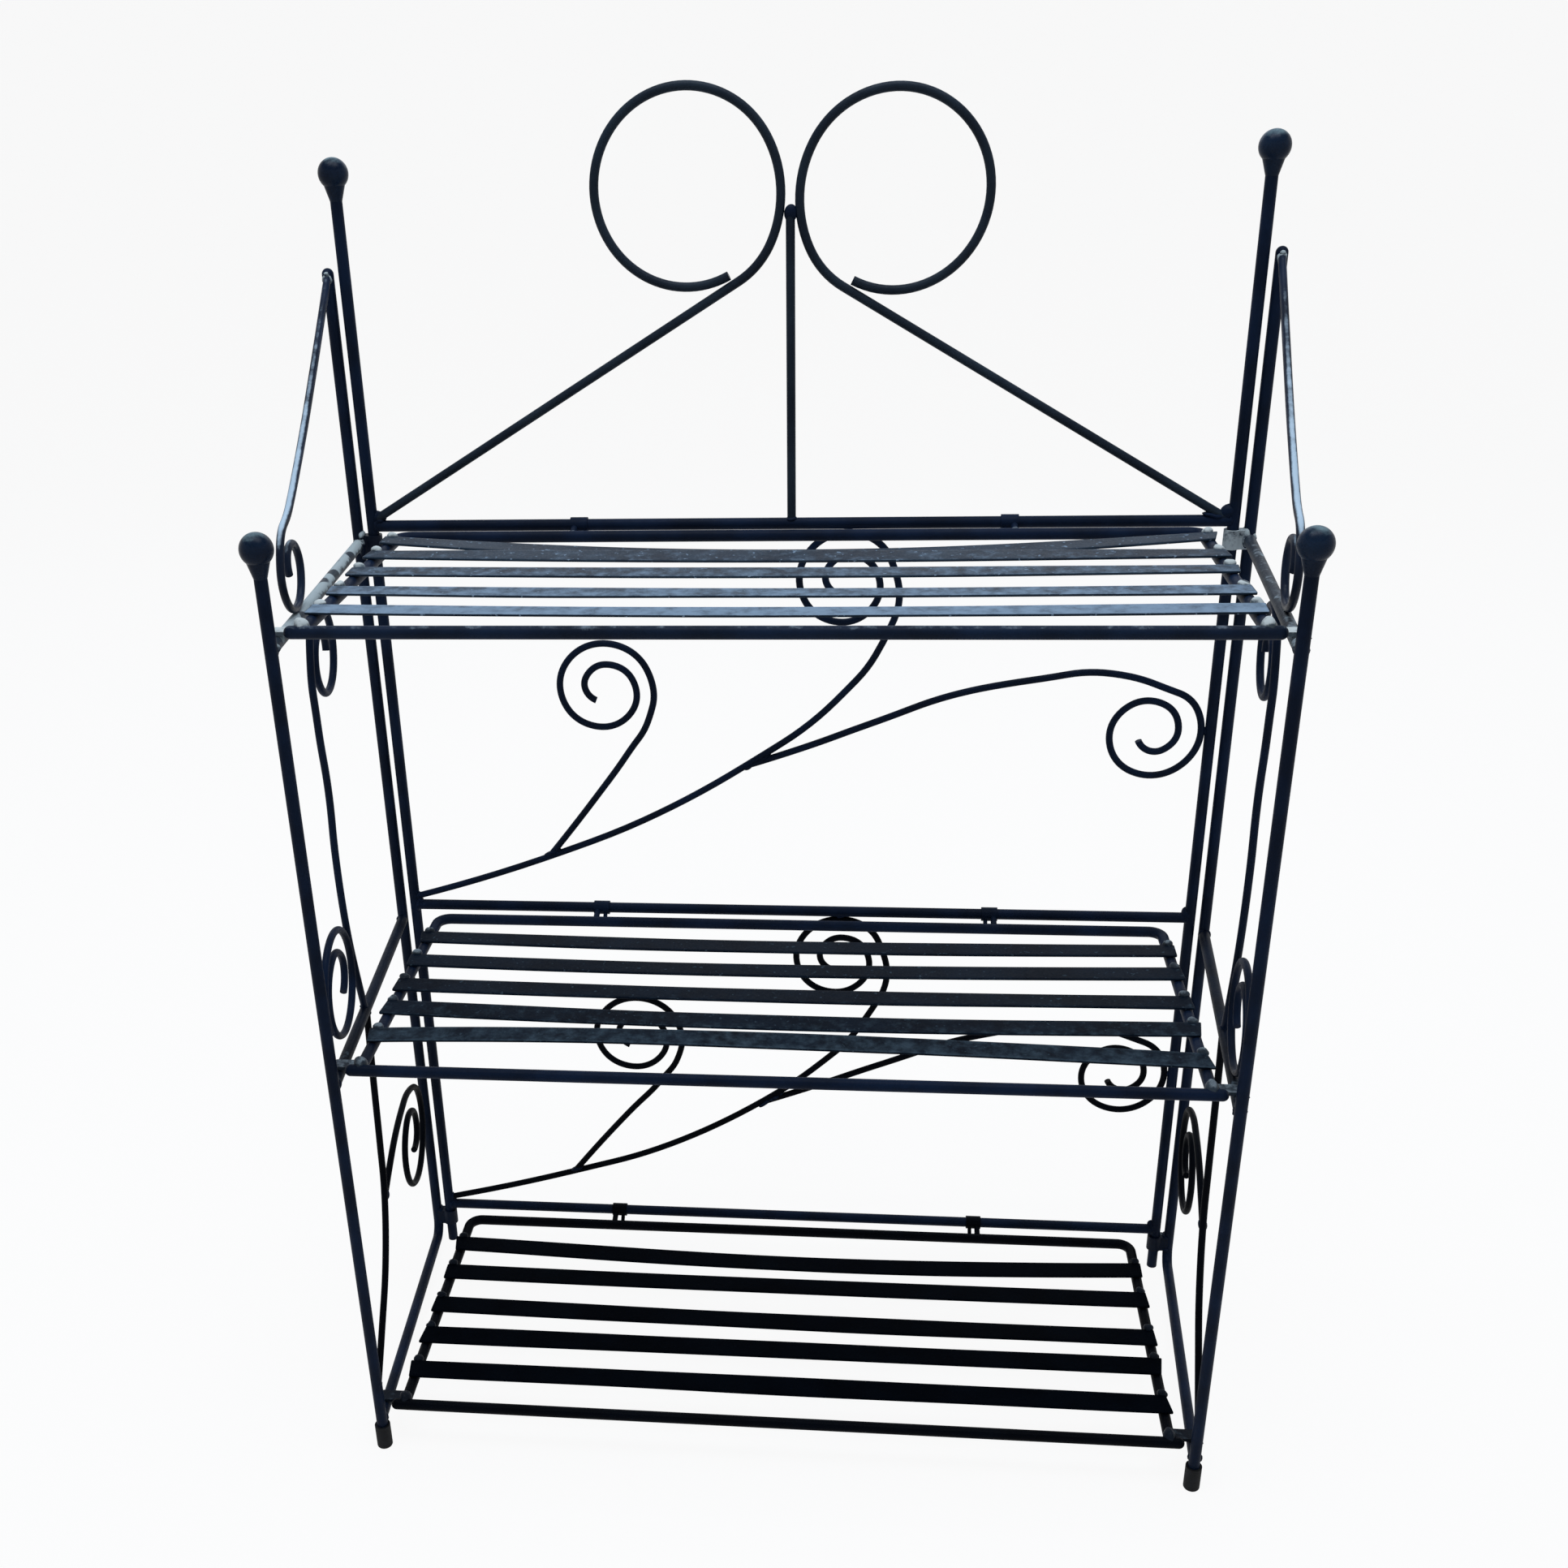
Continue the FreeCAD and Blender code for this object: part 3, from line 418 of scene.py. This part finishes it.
beads = {shelf: shelf_beads(shelf) for shelf in SLAT_BENDS}

# For each crossbar: how far in from the post's axis and how far up its two corner webs sit, and their radii.
CORNER_WEBS = {
    "top_crossbar": ((6, 6), (6.5, 3.4, 5)),
    "middle_crossbar": ((5.5, 2.5), (4.6, 3.6, 6)),
    "bottom_crossbar": ((5.5, 2.5), (4.6, 3.6, 6)),
}
LOOP_BLOB_RADII = (4.6, 3.2, 5.5)


def corner_webs(bar):
    """The centres and radii of the two lumps that fill the corners of a crossbar and its posts."""
    (inward, up), radii = CORNER_WEBS[bar]
    low, high = (np.array(corner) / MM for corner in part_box(bar))
    middle = (low + high) / 2 + (0, 0, up)
    reach = np.array(((high[0] - low[0]) / 2 + ROD_RADIUS - inward, 0, 0))
    return [(middle - reach, radii), (middle + reach, radii)]


rod_low, rod_high = (np.array(corner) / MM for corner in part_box("crest_centre_rod"))
loop_joint = np.append((rod_low + rod_high)[:2] / 2, rod_high[2])
webs = [web for bar in CORNER_WEBS for web in corner_webs(bar)] + [(loop_joint, LOOP_BLOB_RADII)]
web_centres, web_radii = (np.array(part) for part in zip(*webs))
back_webs = weld_lumps("back_weld_webs", "back_frame", web_centres, upright_axes(len(webs)), web_radii)

# %% [markdown]
# Every finish here is the same paint at a different age. Colours are written as they look on screen, and
# one function turns them to the linear values that light is worked out in. One more function adds a node
# with its settings and links, so that a material reads from top to bottom.

# %% Colours and nodes
MIX_SHARE, MIX_FIRST, MIX_SECOND, MIX_RESULT = 0, 6, 7, 2


def linear(colour):
    """The linear value of an sRGB hex colour, by the sRGB curve."""
    shares = np.array([int(colour[k:k + 2], 16) for k in (1, 3, 5)]) / 255
    curved = np.where(shares <= 0.04045, shares / 12.92, ((shares + 0.055) / 1.055) ** 2.4)
    return (*curved.tolist(), 1)


def add(tree, kind, sockets=None, **settings):
    """One more node: its settings, then its sockets, each a value or the output that feeds it."""
    made = tree.nodes.new("ShaderNode" + kind)
    for name, value in settings.items():
        setattr(made, name, value)
    for socket, value in (sockets or {}).items():
        if isinstance(value, bpy.types.NodeSocket):
            tree.links.new(value, made.inputs[socket])
        else:
            made.inputs[socket].default_value = value
    return made


def bare_material(name):
    """A new material with an empty node tree, and that tree."""
    material = bpy.data.materials.new(name)
    material.use_nodes = True
    material.node_tree.nodes.clear()
    return material, material.node_tree


def combine(tree, operation, first, second):
    """Two values taken together: their sum, their product or the larger of them."""
    return add(tree, "Math", {0: first, 1: second}, operation=operation).outputs[0]


def ramp(tree, value, span=(0.0, 1.0), onto=(0.0, 1.0), smooth=False):
    """How far a value has come through a span, carried onto another span and held at its ends."""
    ends = {"From Min": span[0], "From Max": span[1], "To Min": onto[0], "To Max": onto[1]}
    kind = "SMOOTHSTEP" if smooth else "LINEAR"
    return add(tree, "MapRange", {"Value": value, **ends}, interpolation_type=kind).outputs["Result"]


def blend(tree, share, first, second):
    """A colour between two: the first where the share is 0, the second where it is 1."""
    sockets = {MIX_SHARE: share, MIX_FIRST: first, MIX_SECOND: second}
    return add(tree, "Mix", sockets, data_type="RGBA").outputs[MIX_RESULT]


# %% [markdown]
# All patterns are clouds of noise or scattered flakes, and what matters is how large they are on the real
# rack. So each is listed with the size of its features in millimetres, and the scale that the node wants
# follows from it.

# %% Patterns
# Each noise: the size of its features in millimetres, its octaves, and how much each keeps of the one before.
PATTERNS = {
    "mottle": (34, 3.0, 0.5),
    "chalk_and_sheen": (9, 5.0, 0.65),
    "specks": (3.5, 1.0, 0.5),
    "lumps": (6, 2.0, 0.5),
    "grain": (1.4, 3.0, 0.5),
    "dust": (9, 4.0, 0.5),
    "mould": (1.4, 2.0, 0.5),
}
FLAKE_MM = 20


def per_metre(size_mm):
    """The scale at which a pattern's features come out about this size."""
    return 1 / (size_mm * MM)


def noise(tree, where, pattern):
    """The listed noise at each place, mostly from 0.3 to 0.7."""
    size_mm, octaves, keep = PATTERNS[pattern]
    sockets = {"Vector": where, "Scale": per_metre(size_mm), "Detail": octaves, "Roughness": keep}
    return add(tree, "TexNoise", sockets).outputs["Fac"]


def flakes(tree, where):
    """The distance, in flake sizes, to the middle of the nearest scattered flake."""
    return add(tree, "TexVoronoi", {"Vector": where, "Scale": per_metre(FLAKE_MM)}).outputs["Distance"]


print("patterns", list(PATTERNS))

# %% [markdown]
# Brushed oil paint on iron rod is a dielectric film, so it is not metallic: a dark body colour under a weak
# gloss. Age shows in three ways. The colour is mottled over a few centimetres, a pale chalky bloom comes up
# where rain and hands reach, first on the upper sides, and the film is grainy. Which way it faces is read
# from the piece's own normal, so the pale film moves with the piece. On some pieces the same pale film, on
# the side facing a given direction and in given stretches, stands in for light as painted highlight and
# painted sheen.

# %% Weathered enamel and painted sheen
FADE_SPAN = (0.38, 0.64)
NOISE_SPAN = (0.3, 0.7)
CHALK_AND_SHEEN_SPAN = (0.3, 0.7)
RIM_SPAN = (0.75, 1.0)
FLAKE_SPAN = (0.28, 0.36)
SPECK_SPAN = (0.68, 0.74)
TURNED_AWAY = -0.55
GRAIN_SHARE = 0.3
BUMP_DEPTH_MM = 0.5
SHEEN_SWING = 0.07
CHALK_AND_SHEEN_DULLING = 0.3


def chalk_and_sheen_reach(tree, place, cover, patchy, facing, lit, rim, wear_and_sheen, wear_and_sheen_mm):
    """Cover swung by noise, less on the side that turns away from the given direction, which is the weather
    for chalky paint and the light for a painted highlight, more at a rim and, by a product of ramps along the
    rack's axes, in a worn stretch or in a stretch of painted sheen."""
    where = place.outputs["Object"]
    reach = ramp(tree, noise(tree, where, "chalk_and_sheen"), NOISE_SPAN, (cover - patchy, cover + patchy))
    side = add(tree, "VectorMath", {0: place.outputs["Normal"], 1: facing}, operation="DOT_PRODUCT")
    reach = combine(tree, "ADD", reach, ramp(tree, side.outputs["Value"], lit, (TURNED_AWAY, 0.0)))
    if rim:
        edge = add(tree, "Attribute", attribute_name="rim").outputs["Fac"]
        reach = combine(tree, "ADD", reach, ramp(tree, edge, RIM_SPAN, (0.0, rim)))
    if wear_and_sheen:
        spot = add(tree, "SeparateXYZ", {"Vector": where})
        rubbed_and_sheened = wear_and_sheen
        for axis, none_mm, full_mm in wear_and_sheen_mm:
            stretch = ramp(tree, spot.outputs[axis], (none_mm * MM, full_mm * MM))
            rubbed_and_sheened = combine(tree, "MULTIPLY", rubbed_and_sheened, stretch)
        reach = combine(tree, "ADD", reach, rubbed_and_sheened)
    return reach


def chalk_and_sheen_film(tree, where, reach, spots, specks):
    """How much of the pale film shows, chalky paint and painted sheen alike: a smooth step of its reach, less
    the dark flakes and with pale specks put in.
    """
    film = ramp(tree, reach, CHALK_AND_SHEEN_SPAN, smooth=True)
    if spots:
        kept_span = [edge * spots for edge in FLAKE_SPAN]
        film = combine(tree, "MULTIPLY", film, ramp(tree, flakes(tree, where), kept_span, smooth=True))
    if specks:
        marks = ramp(tree, noise(tree, where, "specks"), SPECK_SPAN, (0.0, specks))
        film = combine(tree, "MAXIMUM", film, marks)
    return film


def enamel_with_wear_and_sheen(name, paint, faded, chalk_and_sheen, cover=0.0, patchy=0.35, spots=0.0, specks=0.0, rough=0.5,
                     gloss=0.2, bump=0.35, rim=0.0, facing=(0, 0, 1), lit=(-0.1, 0.85), wear_and_sheen=0.0,
                     wear_and_sheen_mm=()):
    """Paint mixed to its faded colour by broad noise, then to the pale colour by the film, which also dulls
    it, with a relief of brush lumps and fine grain. The pale colour is chalky paint, and on some pieces it is
    painted highlight and painted sheen."""
    material, tree = bare_material(name)
    place = add(tree, "TexCoord")
    where = place.outputs["Object"]
    aged = blend(tree, ramp(tree, noise(tree, where, "mottle"), FADE_SPAN), linear(paint), linear(faded))
    reach = chalk_and_sheen_reach(tree, place, cover, patchy, facing, lit, rim, wear_and_sheen, wear_and_sheen_mm)
    film = chalk_and_sheen_film(tree, where, reach, spots, specks)
    grain = noise(tree, where, "grain")
    relief = combine(tree, "ADD", combine(tree, "MULTIPLY", grain, GRAIN_SHARE), noise(tree, where, "lumps"))
    raised = add(tree, "Bump", {"Height": relief, "Strength": bump, "Distance": BUMP_DEPTH_MM * MM})
    sheen = ramp(tree, grain, NOISE_SPAN, (rough - SHEEN_SWING, rough + SHEEN_SWING))
    roughness = combine(tree, "ADD", sheen, ramp(tree, film, onto=(0.0, CHALK_AND_SHEEN_DULLING)))
    surface = add(tree, "BsdfPrincipled", {
        "Base Color": blend(tree, film, aged, linear(chalk_and_sheen)),
        "Roughness": roughness,
        "Specular IOR Level": gloss,
        "Normal": raised.outputs["Normal"],
    })
    add(tree, "OutputMaterial", {"Surface": surface.outputs["BSDF"]})
    return material


# %% [markdown]
# Now the ages. Rods have kept most of their blue-black, and low on the rack they are painted nearly black as
# painted shade under the shelves. Rails, hooks and collars have chalked, more so to the front and to the top.
# The front rod of the top shelf has worn patches and a painted highlight along its upper side, the arms carry
# a painted highlight as a pale band on the lower half of their slope, and the balls a painted highlight on
# top. The slats of the top shelf are paler, partly dust and partly painted sheen that grows towards the
# front, and those of the middle and bottom shelves are darker as painted shade, the middle ones with a little
# painted sheen to the front.

# %% Ages of the paint, with painted highlight and shade
CHALK = "#a3b0b4"
# Stretches of worn paint, and on the arms and slats stretches of painted highlight and painted sheen: an
# axis, the place in millimetres where it starts, and the place where it is full. A stretch with two ramps
# fades at both ends.
FRONT_WEAR_MM = (("Y", -70, -105),)
# Painted sheen: the slats grow paler towards the front of the shelf.
FRONT_SLAT_SHEEN_MM = (("Y", 75, -95),)
HEIGHT_WEAR_MM = (("Z", 300, 560),)
RAIL_WEAR_MM = (("Z", 560, 605),)
# Painted highlight: the pale stretch of the arms' slope, fading above and below.
ARM_HIGHLIGHT_MM = (("Z", 780, 685), ("Z", 652, 676))

rod_paint = enamel_with_wear_and_sheen("brushed_rod_enamel", "#0a1526", "#101f36", CHALK, cover=-0.05, gloss=0.06)
crest_paint = enamel_with_wear_and_sheen("faded_crest_enamel", "#121c28", "#1e2a36", CHALK, cover=0.0, gloss=0.1)
# Painted shade: rods low on the rack and under the bottom shelf are painted nearly black for the shade of the
# shelves above.
rod_paint_painted_shade = enamel_with_wear_and_sheen("rod_enamel_painted_shade", "#020409", "#040810", CHALK, cover=-0.1,
                                  gloss=0.03)
# Painted highlight: the pale band on the arms, on the side facing front and up in a narrow span, stands in
# for the sky's reflection.
arm_paint_painted_highlight = enamel_with_wear_and_sheen("arm_enamel_painted_highlight", "#0c1728", "#16243a", "#b4cadb", cover=0.3, patchy=0.12,
                             rough=0.4, gloss=0.1, facing=(0, -0.5, 0.87), lit=(0.5, 0.97), wear_and_sheen=0.45,
                             wear_and_sheen_mm=ARM_HIGHLIGHT_MM)
# Painted highlight: the pale teal on the top of each ball.
ball_paint_painted_highlight = enamel_with_wear_and_sheen("ball_enamel_painted_highlight", "#0c192b", "#14263b", "#6f868e", cover=0.55, patchy=0.16,
                              rough=0.3, gloss=0.08, bump=0.15, lit=(0.2, 1.0))
side_weld_paint = enamel_with_wear_and_sheen("side_weld_enamel", "#0a1526", "#101f36", CHALK, cover=0.1, gloss=0.06,
                                   wear_and_sheen=0.8, wear_and_sheen_mm=RAIL_WEAR_MM)
# Worn patches and a painted highlight: the pale film on the upper side of the top shelf's front rod.
front_rod_paint_worn_and_highlit = enamel_with_wear_and_sheen("top_front_rod_enamel_worn_and_highlit", "#0b1728", "#13233a", "#8796a3", cover=0.33,
                                   patchy=0.2, gloss=0.08)
chalky_rail = enamel_with_wear_and_sheen("chalked_rail_enamel", "#18222c", "#2b3743", CHALK, cover=0.85, spots=1.0,
                               rough=0.55)
dusty_rail = enamel_with_wear_and_sheen("dusty_rail_enamel", "#121a25", "#202b37", "#8b98a0", cover=0.3, rough=0.55,
                              wear_and_sheen=0.6, wear_and_sheen_mm=FRONT_WEAR_MM)
# Dark, with little chalking: the middle rails.
fair_rail = enamel_with_wear_and_sheen("dark_rail_enamel", "#080f1b", "#0f1a2a", "#56636e", cover=-0.05,
                             gloss=0.06, wear_and_sheen=0.5, wear_and_sheen_mm=FRONT_WEAR_MM)
rubbed_strap = enamel_with_wear_and_sheen("rubbed_strap_enamel", "#3d4850", "#76838a", "#c2cbcb", cover=0.75,
                                spots=0.5)
dull_strap = enamel_with_wear_and_sheen("dull_strap_enamel", "#1b2530", "#333f4a", "#7b8890", cover=0.5)
# Dark, with little chalking: the bottom hooks and the left collars.
dark_strap = enamel_with_wear_and_sheen("dark_strap_enamel", "#0a1019", "#141d28", "#45515a", cover=0.15,
                              gloss=0.08)
dark_collar = enamel_with_wear_and_sheen("dark_collar_enamel", "#0a1220", "#141f30", "#45515a", cover=0.0,
                               gloss=0.08)
pale_collar = enamel_with_wear_and_sheen("rubbed_collar_enamel", "#0a1220", "#141f30", "#a9b4b8", cover=0.3,
                               gloss=0.08, wear_and_sheen=0.9, wear_and_sheen_mm=HEIGHT_WEAR_MM)
# Lit and shaded copies of one paint: the top shelf's slats are paler from dust and painted sheen, the middle
# shelf's darker as painted shade with a little painted sheen to the front, and the bottom shelf's nearly
# black as painted shade.
slat_finishes_lit_and_shaded = {
    "top_shelf": enamel_with_wear_and_sheen("top_slat_enamel_dust_and_painted_sheen", "#13202e", "#1e2e3d", "#7b90a4", cover=0.24,
                                  patchy=0.14, specks=0.8, rim=0.06, gloss=0.1, lit=(0.4, 0.95), wear_and_sheen=0.38,
                                  wear_and_sheen_mm=FRONT_SLAT_SHEEN_MM),
    "middle_shelf": enamel_with_wear_and_sheen("middle_slat_enamel_painted_shade_and_sheen", "#07111d", "#0d1a28", "#43535f", cover=0.05,
                                     patchy=0.15, specks=0.6, rim=0.1, gloss=0.03, wear_and_sheen=0.42,
                                     wear_and_sheen_mm=FRONT_SLAT_SHEEN_MM),
    "bottom_shelf": enamel_with_wear_and_sheen("bottom_slat_enamel_painted_shade", "#000309", "#02070f", "#141c26", cover=-0.1,
                                     rim=0.1, gloss=0.01),
}
print("enamels", len(bpy.data.materials))

# %% [markdown]
# The two front posts stand in caps of moulded rubber. Rubber is matt and nearly black, with a fine grain
# from the mould and grey dust round its foot.

# %% Foot rubber
DUST_SPAN = (0.5, 0.75)
MOULD_BUMP = 0.25
MOULD_DEPTH_MM = 0.2
RUBBER_ROUGHNESS = 0.75
RUBBER_GLOSS = 0.2


def moulded_rubber(name, body_colour, dust_colour):
    """Dark rubber mixed to dust by noise, with a fine bump for the mould's grain."""
    material, tree = bare_material(name)
    where = add(tree, "TexCoord").outputs["Object"]
    dust = ramp(tree, noise(tree, where, "dust"), DUST_SPAN)
    relief = {"Height": noise(tree, where, "mould"), "Strength": MOULD_BUMP, "Distance": MOULD_DEPTH_MM * MM}
    surface = add(tree, "BsdfPrincipled", {
        "Base Color": blend(tree, dust, linear(body_colour), linear(dust_colour)),
        "Roughness": RUBBER_ROUGHNESS,
        "Specular IOR Level": RUBBER_GLOSS,
        "Normal": add(tree, "Bump", relief).outputs["Normal"],
    })
    add(tree, "OutputMaterial", {"Surface": surface.outputs["BSDF"]})
    return material


foot_rubber = moulded_rubber("moulded_foot_rubber", "#07090c", "#15181c")

# %% [markdown]
# Which finish a node gets follows from where it stands on the rack: the upper rails, hooks and collars are
# chalky, the arms, the balls and the top shelf's front rod carry painted highlights, and the rods low on the
# rack and under the bottom shelf are painted nearly black as painted shade.

# %% Hand out the finishes
NODE_FINISHES = (
    ("foot_cap", foot_rubber),
    ("left_top_rail", chalky_rail),
    ("right_top_rail", dusty_rail),
    ("middle_rail", fair_rail),
    ("top_shelf_hooks", rubbed_strap),
    ("middle_shelf_hooks", dull_strap),
    ("bottom_shelf_hooks", dark_strap),
    ("left_hinge_collars", dark_collar),
    ("right_hinge_collars", pale_collar),
    ("finial", ball_paint_painted_highlight),
    ("arm", arm_paint_painted_highlight),
    ("crest", crest_paint),
    ("top_shelf_front_rod", front_rod_paint_worn_and_highlit),
    ("bottom_shelf", rod_paint_painted_shade),
    ("lower", rod_paint_painted_shade),
    ("", rod_paint),
)
WELD_FINISHES = {
    "top_shelf": dull_strap,
    "bottom_shelf": rod_paint_painted_shade,
    "left_side": side_weld_paint,
    "right_side": side_weld_paint,
}
BEAD_FINISHES = {"top_shelf": rubbed_strap, "middle_shelf": dull_strap, "bottom_shelf": dark_strap}


def finish_of(node):
    """The first finish in the list whose words are in the node's name."""
    return next(finish for words, finish in NODE_FINISHES if words in node)


for node, piece in frame["nodes"].items():
    for holder in piece.material_slots:
        holder.material = finish_of(node)
for shelf, piece in slats.items():
    piece.data.materials.append(slat_finishes_lit_and_shaded[shelf])
for body, piece in welds.items():
    piece.data.materials.append(WELD_FINISHES.get(body, rod_paint))
for shelf, piece in beads.items():
    piece.data.materials.append(BEAD_FINISHES[shelf])
back_webs.data.materials.append(rod_paint)
print("finished", len(frame["nodes"]), "nodes")

# %% [markdown]
# The rack stands in a wide round dish of pale paper whose rim curves up into a wall, so that no edge shows
# from any side. What the camera and the gloss see of it is mostly its own white, so that it stays pale while
# a little of the rack's shadow still falls on it.

# %% Paper dish
DISH_FLOOR = 11000
DISH_CURVE = 1500
DISH_TOP = 8000
DISH_SIDES = 64
DISH_STEPS = 12
PAPER_COLOUR = "#f2f2f2"
GLOW_SHARE = 0.92

rise = np.linspace(0, np.pi / 2, DISH_STEPS)
reach = np.append(DISH_FLOOR + DISH_CURVE * np.sin(rise), DISH_FLOOR + DISH_CURVE)
heights = np.append(DISH_CURVE * (1 - np.cos(rise)), DISH_TOP)
round_turn = np.linspace(0, 2 * np.pi, DISH_SIDES, endpoint=False)
ring = np.stack((np.cos(round_turn), np.sin(round_turn)), -1)
levels = np.broadcast_to(heights[:, None], (len(heights), DISH_SIDES))
dish_grid = np.stack((*(reach[:, None, None] * ring).transpose(2, 0, 1), levels), -1)
dish_wall = tube_faces(len(heights), DISH_SIDES)[:, ::-1]
dish = put_in_scene("paper_dish", dish_grid.reshape(-1, 3), [list(range(DISH_SIDES))] + dish_wall.tolist())

paper, tree = bare_material("pale_paper")
ray = add(tree, "LightPath").outputs
seen = combine(tree, "MAXIMUM", ray["Is Camera Ray"], ray["Is Glossy Ray"])
seen = combine(tree, "MAXIMUM", seen, ray["Is Transmission Ray"])
sheet = add(tree, "BsdfDiffuse", {"Color": linear(PAPER_COLOUR)})
glow = add(tree, "Emission", {"Color": linear("#ffffff"), "Strength": 1.0})
both = add(tree, "MixShader", {
    0: combine(tree, "MULTIPLY", seen, GLOW_SHARE),
    1: sheet.outputs["BSDF"],
    2: glow.outputs["Emission"],
})
add(tree, "OutputMaterial", {"Surface": both.outputs["Shader"]})
dish.data.materials.append(paper)

# %% [markdown]
# The light is that of an open sky: a wide soft panel overhead and a weaker one behind the rack, which put a
# sheen on the tops of the slats and rails, a dim sky all round that is brighter overhead, and no lamp in
# front, where the posts stay dark.

# %% Sky light
SKY_HEIGHTS = (-0.1, 0.9)
SKY_STRENGTHS = (0.12, 0.4)
RACK_MIDDLE = (0, 0, 0.5)


def sky_panel(name, place, aim, width, depth, power, colour):
    """A soft area light at a place, turned to aim, both in metres."""
    lamp = bpy.data.lights.new(name, "AREA")
    lamp.shape = "RECTANGLE"
    lamp.size = width
    lamp.size_y = depth
    lamp.energy = power
    lamp.color = linear(colour)[:3]
    made = bpy.data.objects.new(name, lamp)
    made.location = place
    made.rotation_euler = (Vector(aim) - Vector(place)).to_track_quat("-Z", "Y").to_euler()
    made.visible_camera = False
    scene.collection.objects.link(made)


sky_panel("high_sky", (0, -0.2, 2.7), RACK_MIDDLE, width=2.0, depth=1.1, power=40, colour="#eef5ff")
sky_panel("rear_sky", (0, 2.1, 1.9), RACK_MIDDLE, width=3.2, depth=1.2, power=14, colour="#dfecff")

world = bpy.data.worlds.new("open_sky")
scene.world = world
world.use_nodes = True
tree = world.node_tree
tree.nodes.clear()
direction = add(tree, "SeparateXYZ", {"Vector": add(tree, "TexCoord").outputs["Generated"]})
strength = ramp(tree, direction.outputs["Z"], SKY_HEIGHTS, SKY_STRENGTHS)
sky = add(tree, "Background", {"Color": linear("#eaf1fb"), "Strength": strength})
add(tree, "OutputWorld", {"Surface": sky.outputs["Background"]})
scene.view_settings.view_transform = "Standard"
